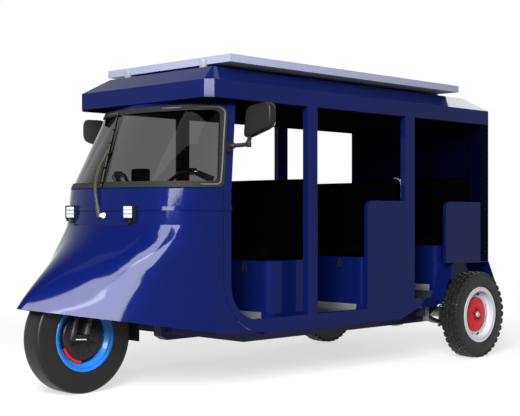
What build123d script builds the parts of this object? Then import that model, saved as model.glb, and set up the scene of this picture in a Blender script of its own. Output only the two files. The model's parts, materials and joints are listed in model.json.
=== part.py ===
import os
from math import cos, radians, sin, tan

from build123d import *

os.makedirs("parts", exist_ok=True)

# An electric rickshaw: one steered front wheel under a long prow, two driven rear wheels, an open
# cab with three seat rows and a solar module on the roof. Millimetres, front at -Y, left at +X,
# ground at Z = 0. Places along the vehicle are given as distances behind the front axle.

# Overall
NOSE_TIP = -400.0
REAR_END = 3420.0
FRONT_AXLE_Y = -(NOSE_TIP + REAR_END) / 2
REAR_AXLE = 2920.0
HALF_WIDTH = 610.0
FRONT_RADIUS = 322.0
REAR_RADIUS = 304.0

# Sheet metal, panels and clearances
SHEET = 6.0
PANEL = 25.0
GAP = 0.3

# Heights: the frame rails carry the cross members, those the floor, and the posts the roof
FRAME_BOTTOM = 250.0
RAIL_HEIGHT = 60.0
CROSS_HEIGHT = 56.0
FLOOR_STEP = 94.0
SILL_LIP = 28.0
SILL_BOTTOM = FRAME_BOTTOM + RAIL_HEIGHT
FLOOR_TOP = SILL_BOTTOM + CROSS_HEIGHT + SHEET
REAR_FLOOR_TOP = FLOOR_TOP + FLOOR_STEP
SILL_TOP = FLOOR_TOP + SILL_LIP
BELT_Z = 953.0
SCREEN_BASE = 1156.0
ROOF_BOTTOM = 1670.0
FASCIA_HEIGHT = 101.0
ROOF_RISE = 94.0
RACK_HEIGHT = 24.0
MODULE_THICK = 45.0
FASCIA_TOP = ROOF_BOTTOM + FASCIA_HEIGHT
PLATEAU_Z = FASCIA_TOP + ROOF_RISE
MODULE_BOTTOM = PLATEAU_Z + RACK_HEIGHT
MODULE_TOP = MODULE_BOTTOM + MODULE_THICK

# Widths, each taken off or added to the body's half width
RAIL_SIDE = 200.0
SEAT_SIDE = 110.0
SOFFIT_SIDE = 160.0
TAIL_SIDE = 90.0
TRACK_SIDE = 86.0
SCREEN_SIDE = 70.0
MIRROR_ROOT_SIDE = 50.0
MIRROR_ELBOW_OUT = 80.0
MIRROR_OUT = 155.0

# Frame rails, each in straight lengths: rising under the prow, level, kicked up, level
RAIL_X = HALF_WIDTH - RAIL_SIDE
RAIL_WIDTH = 60.0
RAIL_TIP = 320.0
RAIL_TIP_BOTTOM = 344.0
RAIL_FRONT = 885.0
RAIL_REAR = 3223.0
KICK_FRONT = 2665.0
KICK_REAR = 2890.0
KICK_OFFSET = 30.0
CROSS_MEMBERS = [910.0, 1500.0, 2050.0, 2500.0]
CROSS_WIDTH = 50.0
SPINE_HALF = 35.0
SPINE_FRONT = 590.0
SPINE_REAR = 636.0
SPINE_BEND = 620.0

# Tow lug at the tail of the frame
TOW_WIDTH = 60.0
TOW_THICK = 16.0
TOW_REAR = 3310.0
TOW_PLACE = 3280.0
TOW_Z = 430.0
TOW_BORE = 11.0

# Prow: one row per height, with its front end, front radius, flank angle and x of the flank's end
PROW_SEAM = 558.0
SEAM = 3.0
FLANK_END = 546.0
SEAM_ARC = 337.0
SEAM_ARC_Z = 655.0
SKIRT_END = 820.0
SKIRT_TIP_Z = 498.0
SKIRT_SLOPE = 0.17
NOSE_RADIUS = 8.0
PROW_ROWS = [
    # z, front, radius, flank_deg, flank_x
    (BELT_Z, 120.0, 900.0, 18.3, 310.0),
    (850.0, 22.0, 560.0, 25.0, 318.0),
    (735.0, -132.0, 260.0, 35.0, 312.0),
    (600.0, -305.0, 80.0, 44.0, 312.0),
    (SKIRT_TIP_Z, NOSE_TIP, 30.0, 47.0, 312.0),
    (300.0, -440.0, 20.0, 48.0, 312.0),
]

# Windscreen: bottom and top rows with their front, front radius, flank angle, x of the flank's
# end, half width and the end of the side arc; the posts run behind it
COWL_FRONT = 150.0
BEAD_BOTTOM = 1033.0
BEAD_HEIGHT = 22.0
BEAD_OUT = 8.0
BEAD_LIP = 1.5
SCREEN_ROWS = [
    # z, front, radius, flank_deg, flank_x, half_width, end, rear
    (SCREEN_BASE, COWL_FRONT, 986.0, 18.3, 310.0, HALF_WIDTH, 585.0, 622.0),
    (ROOF_BOTTOM, 455.0, 950.0, 14.0, 350.0, HALF_WIDTH - SCREEN_SIDE, 680.0, 722.0),
]
POST_WIDTH = 60.0
POST_THICK = 34.0
BOTTOM_RAIL = 8.0
HEADER = 26.0
GLASS_INSET = 4.0
GLASS = 5.0
SEAL_WIDTH = 34.0
SEAL_CORNER = 50.0
SEAL_INNER_CORNER = 30.0
GLASS_LAP = 14.0
SEAL_OUT = 6.0
SEAL_IN = 14.0

# Side frame: posts as front and rear edges
FRAME_DEPTH = 40.0
OPENING_FRONT = 620.0
OPENING_ARC_Z = 615.0
POSTS = [(1267.0, 1357.0), (2245.0, 2348.0), (3146.0, 3249.0)]
SILL_RISE_START = 2199.0
SILL_RISE_END = 2398.0
SILL_END = 2606.0
SILL_TAIL_BOTTOM = 377.0
SILL_TAIL_TOP = 436.0

# Bulkhead behind the prow and step up to the rear floor
BULKHEAD_PLACE = 640.0
STEP_PLACE = 2738.0
COLUMN_CLEARANCE = 20.0

# Half panels in the door openings
HALF_PANELS = [
    # front, rear, bottom, top
    (1843.0, 2245.0, SILL_TOP, 1101.0),
    (2714.0, 3146.0, 668.0, 1101.0),
]
PANEL_CORNER = 50.0

# Wheel boxes: inner wall and side outline
BOX_INNER_X = HALF_WIDTH - SEAT_SIDE
BOX_WALL = 6.0
BOX_BOTTOM = 382.0
BOX_FRONT_LOW = 2666.0
BOX_FRONT_HIGH = 2805.0
BOX_TOP = 668.0
BOX_REAR_HIGH = 3253.0

# Roof
ROOF_FRONT = 447.0
ROOF_REAR = POSTS[2][1]
ROOF_CORNER = 40.0
PLATEAU_CORNER = 8.0
ROOF_HIP_X = 130.0
ROOF_HIP_Y = 150.0
ROOF_SKIN = 12.0
ROOF_RAIL = 40.0
RACK_SIDE = 217.0
RACK_WIDTH = 40.0
RACK_INSET = 60.0
SOFFIT_HALF = HALF_WIDTH - SOFFIT_SIDE
SOFFIT_END = 300.0

# Solar module
MODULE_WIDTH = 1134.0
MODULE_LENGTH = 2278.0
MODULE_FRONT = 653.0
MODULE_LIP = 12.0
MODULE_RECESS = 2.0

# Seats
SEAT_ROWS = [
    # name, front, rear, floor, base_height, back_height
    ("front", 1040.0, 1440.0, FLOOR_TOP, 358.0, 520.0),
    ("middle", 1940.0, 2340.0, FLOOR_TOP, 358.0, 520.0),
    ("rear", 2760.0, 3190.0, REAR_FLOOR_TOP, 324.0, 515.0),
]
SEAT_HALF = HALF_WIDTH - SEAT_SIDE
SEAT_CORNER = 60.0
SEAT_WALL = 12.0
CUSHION = 85.0
CUSHION_OVERHANG = 40.0
CUSHION_EDGE = 25.0
BACK_THICK = 70.0
BACK_CORNER = 60.0
BATTERY_SIDE = 120.0
BATTERY_MARGIN = 40.0
BATTERY_HEIGHT = 268.0

# Grab handles at the ends of the middle backrest
GRAB_RADIUS = 9.0
GRAB_DROP = 220.0
GRAB_REACH = 60.0
GRAB_BEND = 40.0

# Wheels
REAR_WHEEL_X = HALF_WIDTH + TRACK_SIDE
RIM_SEAT = 176.0
RIM_WALL = 10.0
FLANGE_THICK = 6.0
BEAD_STEP = 8.0
SPINDLE = 12.0
REAR_SPINDLE = 20.0
BEARING_GAP = 0.3
WHEELS = [
    # name, centre_x, behind, radius, half_width, shoulder, flange, bore
    ("front", 0.0, 0.0, FRONT_RADIUS, 73.0, 16.0, 198.0, SPINDLE),
    ("rear_left", REAR_WHEEL_X, REAR_AXLE, REAR_RADIUS, 62.0, 30.0, 193.0, REAR_SPINDLE),
    ("rear_right", -REAR_WHEEL_X, REAR_AXLE, REAR_RADIUS, 62.0, 30.0, 193.0, REAR_SPINDLE),
]
FRONT_HUB = 135.0
FRONT_HUB_HALF = 48.0
DISC_X = 14.0
DISC_THICK = 6.0
DISC_BORE = 60.0
DISC_SLOT = (46.0, 18.0)
DISC_SLOT_RADIUS = 146.0
DISC_SLOT_ANGLE = 15.5
HUB_DISC = 122.0
HUB_DISC_THICK = 8.0
HUB_BOSS = 46.0
HUB_BOSS_OUT = 40.0

# Mudflap
FLAP_PLACE = 360.0
FLAP_BOTTOM = 270.0
FLAP_TOP = 560.0
FLAP_HALF = 100.0
FLAP_BRACKET = 40.0
FLAP_BRACKET_HALF = 30.0

# Steering
RAKE = 31.0
STEER_FRONT = -100.0
STEM_RADIUS = 24.0
HEAD_RADIUS = 36.0
HEAD_LOW = 790.0
HEAD_HIGH = 900.0
CROWN_Z = 700.0
CROWN_THICK = 28.0
CROWN_FRONT = -70.0
CROWN_REAR = 240.0
CROWN_HALF = 130.0
FORK_LEG_X = 104.0
FORK_LEG_RADIUS = 16.0
LEG_LEAN = 15.0
LEG_FRONT = -118.0
SHOCK_RADIUS = 18.0
SHOCK_FRONT = -22.0
LINK_HEIGHT = 36.0
LINK_THICK = 12.0
CLAMP_Z = 1165.0
CLAMP_HALF = 35.0
CLAMP_DEPTH = 50.0
CLAMP_HEIGHT = 60.0
BAR_RADIUS = 11.0
BAR_POINTS = [
    # x, behind the front axle, z
    (70.0, 452.0, CLAMP_Z),
    (150.0, 500.0, 1175.0),
    (260.0, 540.0, 1255.0),
    (360.0, 560.0, 1262.0),
]
GRIP_END = (440.0, 640.0, 1215.0)
BAR_BEND = 30.0
POD_HALF = 58.0
POD_FRONT = 428.0
POD_DEPTH = 62.0
POD_BOTTOM = 1192.0
POD_TOP = 1285.0

# Rear axle and springs
AXLE_RADIUS = 38.0
CASTING_RADIUS = 133.0
MOTOR_RADIUS = 84.0
MOTOR_REAR = 3190.0
DRUM_RADIUS = 120.0
DRUM_INSET = 24.0
DRUM_WIDTH = 107.0
DRUM_OUTER_X = REAR_WHEEL_X - DRUM_INSET
DRUM_X = DRUM_OUTER_X - DRUM_WIDTH
SPRING_X = RAIL_X + RAIL_WIDTH
SPRING_WIDTH = 60.0
SPRING_HALF = 300.0
SPRING_EYE_Z = 300.0
SPRING_LOW_Z = 221.0
SPRING_STACK = 28.0
LEAF_THICK = 12.0
HANGER_HALF = 30.0
HANGER_DROP = 40.0
SHACKLE_DEPTH = 20.0
SEAT_PLATE_HALF = 50.0

# Work lamps on the cowl
LAMP_X = 271.0
LAMP_FRONT = 138.0
LAMP_WIDTH = 90.0
LAMP_DEPTH = 44.0
LAMP_LOW = 985.0
LAMP_HIGH = 1064.0
LAMP_LIP = 8.0
LAMP_FOOT = 12.0
LAMP_FOOT_LOW = 968.0

# Wiper: pivot, elbow, arm end and the blade's ends, each as x, distance behind the front axle, z
WIPER_PIVOT = (36.0, 128.0, 1002.0)
WIPER_ELBOW = (-20.0, 132.0, 1163.0)
WIPER_BEND = (-95.0, 235.0, 1315.0)
WIPER_END = (-76.0, 281.0, 1394.0)
BLADE_LOW = (33.0, 142.0, 1172.0)
BLADE_HIGH = (-172.0, 424.0, 1620.0)
WIPER_ARM = 9.0
WIPER_BLADE = 6.0

# Mirrors: an arm off each post, a stalk and a tapered head
MIRROR_ROOT = (HALF_WIDTH - MIRROR_ROOT_SIDE, 645.0, 1392.0)
MIRROR_ELBOW = (HALF_WIDTH + MIRROR_ELBOW_OUT, 680.0, 1392.0)
MIRROR_ARM = 9.0
MIRROR_X = HALF_WIDTH + MIRROR_OUT
MIRROR_PLACE = 700.0
MIRROR_WIDTH = 236.0
MIRROR_LOW = 1448.0
MIRROR_HIGH = 1650.0
MIRROR_TAPER = 30.0
MIRROR_CORNER = 32.0
MIRROR_DEPTH = 60.0

# Tail lamps
TAIL_X = HALF_WIDTH - TAIL_SIDE
TAIL_WIDTH = 100.0
TAIL_LOW = 760.0
TAIL_HIGH = 900.0
TAIL_DEPTH = 30.0

# Ribs on the inside of the rear wall
RIB = 24.0
RIB_X = (-322.0, 446.0)
RIB_LOW = 1312.0
RIB_HEADROOM = 30.0
RIB_HIGH = ROOF_BOTTOM - RIB_HEADROOM
RIB_RAIL_Z = 1364.0


def back(distance):
    """Y of a place behind the front axle."""
    return FRONT_AXLE_Y + distance


def on_axis(height):
    """Place on the steering axis at a height."""
    return Vector(0, back(STEER_FRONT + (height - FRONT_RADIUS) * tan(radians(RAKE))), height)


def bow(front, radius, flank_deg, flank_x, half_width, end, rear, inset=0.0):
    """Closed plan outline: round front, straight flanks, side arcs and a straight rear edge."""
    turn = radians(flank_deg)
    front, radius = front + inset, max(radius - inset, NOSE_RADIUS)
    flank_x, half_width = flank_x - inset * sin(turn), half_width - inset
    nose_x = radius * sin(turn)
    nose_y = front + radius * (1 - cos(turn))
    flank_y = nose_y + (flank_x - nose_x) * tan(turn)
    shoulder, knee = (nose_x, back(nose_y)), (flank_x, back(flank_y))
    corner, heel = (half_width, back(end)), (half_width, back(rear))
    ThreePointArc((-shoulder[0], shoulder[1]), (0, back(front)), shoulder)
    Line(shoulder, knee)
    TangentArc(knee, corner, tangent=(cos(turn), sin(turn)))
    Line(corner, heel)
    Line(heel, (-heel[0], heel[1]))
    Line((-heel[0], heel[1]), (-corner[0], corner[1]))
    TangentArc((-knee[0], knee[1]), (-corner[0], corner[1]), tangent=(-cos(turn), sin(turn)))
    Line((-knee[0], knee[1]), (-shoulder[0], shoulder[1]))


def side_outline(points, low_x, high_x, mode=Mode.ADD):
    """Extrude an outline of (distance behind the front axle, z) points from low_x to high_x."""
    with BuildSketch(Plane.YZ.offset(low_x)) as outline:
        with BuildLine():
            Polyline([(back(y), z) for y, z in points], close=True)
        make_face()
    extrude(outline.sketch, amount=high_x - low_x, mode=mode)


def block(low_x, high_x, front, rear, low_z, high_z, mode=Mode.ADD):
    """A box given by its faces."""
    with Locations(((low_x + high_x) / 2, back((front + rear) / 2), (low_z + high_z) / 2)):
        Box(high_x - low_x, rear - front, high_z - low_z, mode=mode)


def rod(start, end, radius, mode=Mode.ADD):
    """A round bar between two points."""
    start, end = Vector(*start), Vector(*end)
    with BuildSketch(Plane(origin=start, z_dir=end - start)) as section:
        Circle(radius)
    extrude(section.sketch, amount=(end - start).length, mode=mode)


def finish(builder, name):
    """Label a piece and write it."""
    builder.part.label = name
    export_step(builder.part, f"parts/{name}.step")


# Frame: straight lengths of rail, cross members, a spine up to the steering head and the tow lug
kick = REAR_FLOOR_TOP - SHEET - RAIL_HEIGHT
floor_bottom = FLOOR_TOP - SHEET
head_low, head_high = on_axis(HEAD_LOW), on_axis(HEAD_HIGH)
with BuildPart() as chassis_frame:
    for side in (-1, 1):
        low = side * RAIL_X - RAIL_WIDTH / 2
        high = low + RAIL_WIDTH
        side_outline(
            [
                (RAIL_TIP, RAIL_TIP_BOTTOM),
                (RAIL_FRONT - GAP, FRAME_BOTTOM),
                (RAIL_FRONT - GAP, FRAME_BOTTOM + RAIL_HEIGHT),
                (RAIL_TIP, RAIL_TIP_BOTTOM + RAIL_HEIGHT),
            ],
            low,
            high,
        )
        block(low, high, RAIL_FRONT, KICK_FRONT, FRAME_BOTTOM, FRAME_BOTTOM + RAIL_HEIGHT)
        side_outline(
            [
                (KICK_FRONT + GAP, FRAME_BOTTOM),
                (KICK_FRONT + KICK_OFFSET, FRAME_BOTTOM),
                (KICK_REAR + KICK_OFFSET, kick),
                (KICK_REAR + KICK_OFFSET, kick + RAIL_HEIGHT),
                (KICK_REAR, kick + RAIL_HEIGHT),
                (KICK_FRONT + GAP, FRAME_BOTTOM + RAIL_HEIGHT),
            ],
            low,
            high,
        )
        block(low, high, KICK_REAR + KICK_OFFSET + GAP, RAIL_REAR, kick, kick + RAIL_HEIGHT)
    cross_half = HALF_WIDTH - FRAME_DEPTH - GAP
    for place in CROSS_MEMBERS:
        block(
            -cross_half,
            cross_half,
            place - CROSS_WIDTH / 2,
            place + CROSS_WIDTH / 2,
            FRAME_BOTTOM + RAIL_HEIGHT + GAP,
            floor_bottom,
        )
    inner = RAIL_X - RAIL_WIDTH / 2 - GAP
    block(-inner, inner, RAIL_REAR - CROSS_WIDTH, RAIL_REAR, kick, kick + RAIL_HEIGHT)
    block(
        -SPINE_HALF,
        SPINE_HALF,
        SPINE_REAR + GAP,
        CROSS_MEMBERS[0] - CROSS_WIDTH / 2 - GAP,
        FRAME_BOTTOM,
        floor_bottom - GAP,
    )
    side_outline(
        [
            (SPINE_FRONT, FRAME_BOTTOM + HEADER),
            (SPINE_REAR, FRAME_BOTTOM),
            (SPINE_REAR, SPINE_BEND),
            (SPINE_FRONT - HEAD_RADIUS, SPINE_BEND),
        ],
        -SPINE_HALF,
        SPINE_HALF,
    )
    side_outline(
        [
            (SPINE_FRONT - 2 * HEAD_RADIUS, SPINE_BEND + GAP),
            (SPINE_REAR, SPINE_BEND + GAP),
            (head_high.Y - back(0), HEAD_HIGH - GAP),
            (head_low.Y - back(0), HEAD_LOW),
        ],
        -SPINE_HALF,
        SPINE_HALF,
    )
    over_low, over_high = on_axis(HEAD_LOW - HEAD_RADIUS), on_axis(HEAD_HIGH + HEAD_RADIUS)
    rod(over_low, over_high, HEAD_RADIUS + GAP, Mode.SUBTRACT)
    rod(head_low, head_high, HEAD_RADIUS)
    rod(over_low, over_high, STEM_RADIUS + BEARING_GAP, Mode.SUBTRACT)
    tow_low, tow_high = TOW_Z - TOW_THICK / 2, TOW_Z + TOW_THICK / 2
    block(-TOW_WIDTH / 2, TOW_WIDTH / 2, RAIL_REAR + GAP, TOW_REAR, tow_low, tow_high)
    bore_low = (0, back(TOW_PLACE), tow_low - SHEET)
    bore_high = (0, back(TOW_PLACE), tow_high + SHEET)
    rod(bore_low, bore_high, TOW_BORE, Mode.SUBTRACT)
finish(chassis_frame, "chassis_frame")

# Floor: a pan with a step up over the axle, notched for the wheel boxes
with BuildPart() as floor_pan:
    side_outline(
        [
            (BULKHEAD_PLACE + SHEET, floor_bottom),
            (STEP_PLACE + SHEET, floor_bottom),
            (STEP_PLACE + SHEET, REAR_FLOOR_TOP - SHEET),
            (RAIL_REAR, REAR_FLOOR_TOP - SHEET),
            (RAIL_REAR, REAR_FLOOR_TOP),
            (STEP_PLACE, REAR_FLOOR_TOP),
            (STEP_PLACE, FLOOR_TOP),
            (BULKHEAD_PLACE + SHEET, FLOOR_TOP),
        ],
        -cross_half,
        cross_half,
    )
    for side in (-1, 1):
        low = BOX_INNER_X if side > 0 else -HALF_WIDTH
        high = low + HALF_WIDTH - BOX_INNER_X
        block(low, high, BOX_FRONT_LOW - SHEET, REAR_END, SILL_BOTTOM, BOX_TOP, Mode.SUBTRACT)
finish(floor_pan, "floor_pan")

# Bulkhead: a kick panel and the shelf that closes the prow, with a hole for the column
with BuildPart() as bulkhead:
    shelf_bottom = BELT_Z - SHEET
    block(
        -cross_half, cross_half, BULKHEAD_PLACE, BULKHEAD_PLACE + SHEET, floor_bottom, shelf_bottom
    )
    with BuildSketch(Plane.XY.offset(shelf_bottom)):
        with BuildLine():
            bow(
                *PROW_ROWS[0][1:],
                HALF_WIDTH,
                FLANK_END,
                BULKHEAD_PLACE + SHEET,
                inset=FRAME_DEPTH + GAP,
            )
        make_face()
    extrude(amount=SHEET)
    hole = STEM_RADIUS + COLUMN_CLEARANCE
    rod(on_axis(BELT_Z - 2 * hole), on_axis(BELT_Z + 2 * hole), hole, Mode.SUBTRACT)
finish(bulkhead, "bulkhead")

# Prow: an outer loft less an inner one, open below and at the rear, cut along the skirt line and
# along the arc where it meets the side frame
skirt_rear_z = SKIRT_TIP_Z - SKIRT_SLOPE * (PROW_SEAM - NOSE_TIP)
skirt_end_z = SEAM_ARC_Z - (SEAM_ARC**2 - (PROW_SEAM + SEAM_ARC - SKIRT_END) ** 2) ** 0.5
arc_mid = (
    back(PROW_SEAM + SEAM_ARC * (1 - cos(radians(45)))),
    SEAM_ARC_Z - SEAM_ARC * sin(radians(45)),
)
with BuildPart() as nose_shell:
    for inset, mode in ((0.0, Mode.ADD), (SHEET, Mode.SUBTRACT)):
        for height, *row in PROW_ROWS:
            with BuildSketch(Plane.XY.offset(height)):
                with BuildLine():
                    bow(*row, HALF_WIDTH, FLANK_END, CROSS_MEMBERS[0], inset)
                make_face()
        loft(mode=mode)
    side_outline(
        [
            (2 * NOSE_TIP, 0),
            (2 * NOSE_TIP, SKIRT_TIP_Z - SKIRT_SLOPE * NOSE_TIP),
            (NOSE_TIP, SKIRT_TIP_Z),
            (PROW_SEAM, skirt_rear_z),
            (CROSS_MEMBERS[0], SILL_BOTTOM),
            (CROSS_MEMBERS[0], 0),
        ],
        -HALF_WIDTH - SHEET,
        HALF_WIDTH + SHEET,
        Mode.SUBTRACT,
    )
    with BuildSketch(Plane.YZ.offset(-HALF_WIDTH - SHEET)) as behind_seam:
        with BuildLine() as seam:
            ThreePointArc((back(PROW_SEAM), SEAM_ARC_Z), arc_mid, (back(SKIRT_END), skirt_end_z))
            Polyline(
                (back(SKIRT_END), skirt_end_z),
                (back(SKIRT_END), 0),
                (back(CROSS_MEMBERS[1]), 0),
                (back(CROSS_MEMBERS[1]), SCREEN_BASE),
                (back(PROW_SEAM), SCREEN_BASE),
                (back(PROW_SEAM), SEAM_ARC_Z),
            )
        make_face()
    extrude(behind_seam.sketch, amount=2 * (HALF_WIDTH + SHEET), mode=Mode.SUBTRACT)
finish(nose_shell, "nose_shell")

# Cowl: the band between the prow and the windscreen, with a raised bead round it
belt_row, base_row = PROW_ROWS[0][1:], SCREEN_ROWS[0][1:5]
share = (BEAD_BOTTOM - BELT_Z) / (SCREEN_BASE - BELT_Z)
bead_row = [low + share * (high - low) for low, high in zip(belt_row, base_row)]
bead_top = BEAD_BOTTOM + BEAD_HEIGHT


def cowl_loft(low, high, mode=Mode.ADD):
    """Loft between two levels, each given as z, row and inset."""
    sections = []
    for height, row, inset in (low, high):
        with BuildSketch(Plane.XY.offset(height)) as section:
            with BuildLine():
                bow(*row, HALF_WIDTH, FLANK_END, CROSS_MEMBERS[0], inset)
            make_face()
        sections.append(section.sketch)
    loft(sections, mode=mode)


with BuildPart() as cowl_form:
    cowl_loft((BELT_Z, belt_row, 0.0), (SCREEN_BASE, base_row, 0.0))
    cowl_loft((BEAD_BOTTOM, bead_row, -BEAD_OUT), (bead_top, bead_row, -BEAD_LIP))
with BuildPart() as front_cowl:
    add(cowl_form.part)
    cowl_loft((BELT_Z, belt_row, SHEET), (SCREEN_BASE, base_row, SHEET), Mode.SUBTRACT)
    block(
        -HALF_WIDTH - BEAD_OUT,
        HALF_WIDTH + BEAD_OUT,
        PROW_SEAM,
        CROSS_MEMBERS[1],
        0,
        ROOF_BOTTOM,
        Mode.SUBTRACT,
    )
finish(front_cowl, "front_cowl")


def screen_loft(inset, mode=Mode.ADD):
    """Loft of the windscreen's form, moved inwards by inset."""
    sections = []
    for height, *row in SCREEN_ROWS:
        with BuildSketch(Plane.XY.offset(height)) as section:
            with BuildLine():
                bow(*row, inset=inset)
            make_face()
        sections.append(section.sketch)
    loft(sections, mode=mode)


def screen_window(inset, mode):
    """The windscreen opening, drawn from the side and moved inwards by inset."""
    low, high = SCREEN_ROWS[0][7] - POST_WIDTH, SCREEN_ROWS[1][7] - POST_WIDTH
    low_z, high_z = SCREEN_BASE + BOTTOM_RAIL + inset, ROOF_BOTTOM - HEADER - inset
    lean = (high - low) / (ROOF_BOTTOM - SCREEN_BASE)
    rear_low = low + lean * (low_z - SCREEN_BASE) - inset
    rear_high = low + lean * (high_z - SCREEN_BASE) - inset
    with BuildSketch(Plane.YZ.offset(-HALF_WIDTH - PANEL)) as side:
        with BuildLine():
            Polyline(
                (back(0), low_z),
                (back(rear_low), low_z),
                (back(rear_high), high_z),
                (back(0), high_z),
                close=True,
            )
        make_face()
        fillet(side.vertices().sort_by(Axis.X)[2:], max(SEAL_CORNER - inset, SEAL_INNER_CORNER))
    extrude(side.sketch, amount=2 * (HALF_WIDTH + PANEL), mode=mode)


# Screen frame: the leaning posts and the header round the windscreen
with BuildPart() as screen_frame:
    screen_loft(0.0)
    screen_loft(POST_THICK, Mode.SUBTRACT)
    screen_window(0.0, Mode.SUBTRACT)
finish(screen_frame, "screen_frame")

# Windscreen: one wrapped pane
with BuildPart() as windscreen_glass:
    screen_loft(GLASS_INSET)
    screen_loft(GLASS_INSET + GLASS, Mode.SUBTRACT)
    screen_window(GLASS_LAP, Mode.INTERSECT)
finish(windscreen_glass, "windscreen_glass")

# Seal: the rubber round the pane
with BuildPart() as windscreen_seal:
    screen_loft(-SEAL_OUT)
    screen_loft(SEAL_IN, Mode.SUBTRACT)
    screen_window(0.0, Mode.INTERSECT)
    screen_window(SEAL_WIDTH, Mode.SUBTRACT)
    add(windscreen_glass.part, mode=Mode.SUBTRACT)
finish(windscreen_seal, "windscreen_seal")

# Side frames: sill, front strip with its large arc, the bead's end and three posts
strip_front = PROW_SEAM + SEAM
strip_arc = SEAM_ARC - SEAM
arc_radius = OPENING_ARC_Z - SILL_TOP
for side, name in ((1, "left"), (-1, "right")):
    inner_x, outer_x = HALF_WIDTH - FRAME_DEPTH, HALF_WIDTH
    low_x, high_x = (inner_x, outer_x) if side > 0 else (-outer_x, -inner_x)
    with BuildPart() as side_frame:
        with BuildSketch(Plane.YZ.offset(low_x)):
            with BuildLine():
                Polyline(
                    (back(OPENING_FRONT), OPENING_ARC_Z),
                    (back(OPENING_FRONT), SCREEN_BASE),
                    (back(strip_front), SCREEN_BASE),
                    (back(strip_front), SEAM_ARC_Z),
                )
                ThreePointArc(
                    (back(strip_front), SEAM_ARC_Z),
                    (
                        back(strip_front + strip_arc * (1 - cos(radians(45)))),
                        SEAM_ARC_Z - strip_arc * sin(radians(45)),
                    ),
                    (back(strip_front + strip_arc), SEAM_ARC_Z - strip_arc),
                )
                Polyline(
                    (back(strip_front + strip_arc), SEAM_ARC_Z - strip_arc),
                    (back(strip_front + strip_arc), SILL_BOTTOM),
                    (back(SILL_RISE_START), SILL_BOTTOM),
                    (back(SILL_RISE_END), SILL_TAIL_BOTTOM),
                    (back(SILL_END), SILL_TAIL_BOTTOM),
                    (back(SILL_END), SILL_TAIL_TOP),
                    (back(POSTS[1][1]), SILL_TAIL_TOP),
                    (back(POSTS[1][1]), ROOF_BOTTOM),
                    (back(POSTS[1][0]), ROOF_BOTTOM),
                    (back(POSTS[1][0]), SILL_TOP),
                    (back(POSTS[0][1]), SILL_TOP),
                    (back(POSTS[0][1]), ROOF_BOTTOM),
                    (back(POSTS[0][0]), ROOF_BOTTOM),
                    (back(POSTS[0][0]), SILL_TOP),
                    (back(OPENING_FRONT + arc_radius), SILL_TOP),
                )
                RadiusArc(
                    (back(OPENING_FRONT), OPENING_ARC_Z),
                    (back(OPENING_FRONT + arc_radius), SILL_TOP),
                    -arc_radius,
                )
            make_face()
        extrude(amount=FRAME_DEPTH)
        bead_low_x = HALF_WIDTH - SHEET if side > 0 else -HALF_WIDTH - BEAD_OUT
        block(
            bead_low_x,
            bead_low_x + SHEET + BEAD_OUT,
            strip_front,
            OPENING_FRONT,
            BEAD_BOTTOM,
            BEAD_BOTTOM + BEAD_HEIGHT,
        )
    finish(side_frame, f"side_frame_{name}")

# Rear wall with the corner posts
with BuildPart() as rear_wall:
    block(
        -HALF_WIDTH,
        HALF_WIDTH,
        POSTS[2][1] - PANEL,
        POSTS[2][1],
        BOX_TOP + GAP,
        ROOF_BOTTOM,
    )
    block(
        -BOX_INNER_X + GAP,
        BOX_INNER_X - GAP,
        POSTS[2][1] - PANEL,
        POSTS[2][1],
        REAR_FLOOR_TOP - SHEET,
        BOX_TOP + GAP,
    )
    for side in (-1, 1):
        low_x = HALF_WIDTH - FRAME_DEPTH if side > 0 else -HALF_WIDTH
        block(
            low_x,
            low_x + FRAME_DEPTH,
            POSTS[2][0],
            POSTS[2][1] - PANEL,
            BOX_TOP + GAP,
            ROOF_BOTTOM,
        )
    wall_front = POSTS[2][1] - PANEL
    for rib_x in RIB_X:
        block(rib_x - RIB / 2, rib_x + RIB / 2, wall_front - RIB, wall_front, RIB_LOW, RIB_HIGH)
    rail_low, rail_high = RIB_RAIL_Z - RIB / 2, RIB_RAIL_Z + RIB / 2
    block(RIB_X[0], RIB_X[1], wall_front - RIB, wall_front, rail_low, rail_high)
finish(rear_wall, "rear_wall")

# Half panels: one ahead of the second post and one ahead of the third, on each side
with BuildPart() as half_panels:
    for front, rear, bottom, top in HALF_PANELS:
        for side in (-1, 1):
            with BuildSketch(Plane.YZ.offset(side * (HALF_WIDTH - PANEL / 2) - PANEL / 2)) as face:
                with BuildLine():
                    Polyline(
                        (back(front), bottom),
                        (back(front), top),
                        (back(rear), top),
                        (back(rear), bottom),
                        close=True,
                    )
                make_face()
                fillet(face.vertices().group_by(Axis.X)[0].sort_by(Axis.Y)[-1], PANEL_CORNER)
            extrude(amount=PANEL)
finish(half_panels, "half_panels")

# Wheel boxes: front, top and rear plates with an inner wall, open outwards and below
with BuildPart() as wheel_boxes:
    outline = [
        (BOX_FRONT_LOW, BOX_BOTTOM),
        (BOX_FRONT_HIGH, BOX_TOP),
        (BOX_REAR_HIGH, BOX_TOP),
        (REAR_END, BOX_BOTTOM),
    ]
    hollow = [
        (BOX_FRONT_LOW + BOX_WALL, BOX_BOTTOM - GAP),
        (BOX_FRONT_HIGH + BOX_WALL / 2, BOX_TOP - BOX_WALL),
        (BOX_REAR_HIGH - BOX_WALL / 2, BOX_TOP - BOX_WALL),
        (REAR_END - BOX_WALL, BOX_BOTTOM - GAP),
    ]
    for side in (-1, 1):
        low_x = BOX_INNER_X if side > 0 else -HALF_WIDTH
        side_outline(outline, low_x, low_x + HALF_WIDTH - BOX_INNER_X)
        low_x = BOX_INNER_X + BOX_WALL if side > 0 else -HALF_WIDTH - GAP
        high_x = low_x + HALF_WIDTH - BOX_INNER_X - BOX_WALL + GAP
        side_outline(hollow, low_x, high_x, Mode.SUBTRACT)
finish(wheel_boxes, "wheel_boxes")


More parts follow.
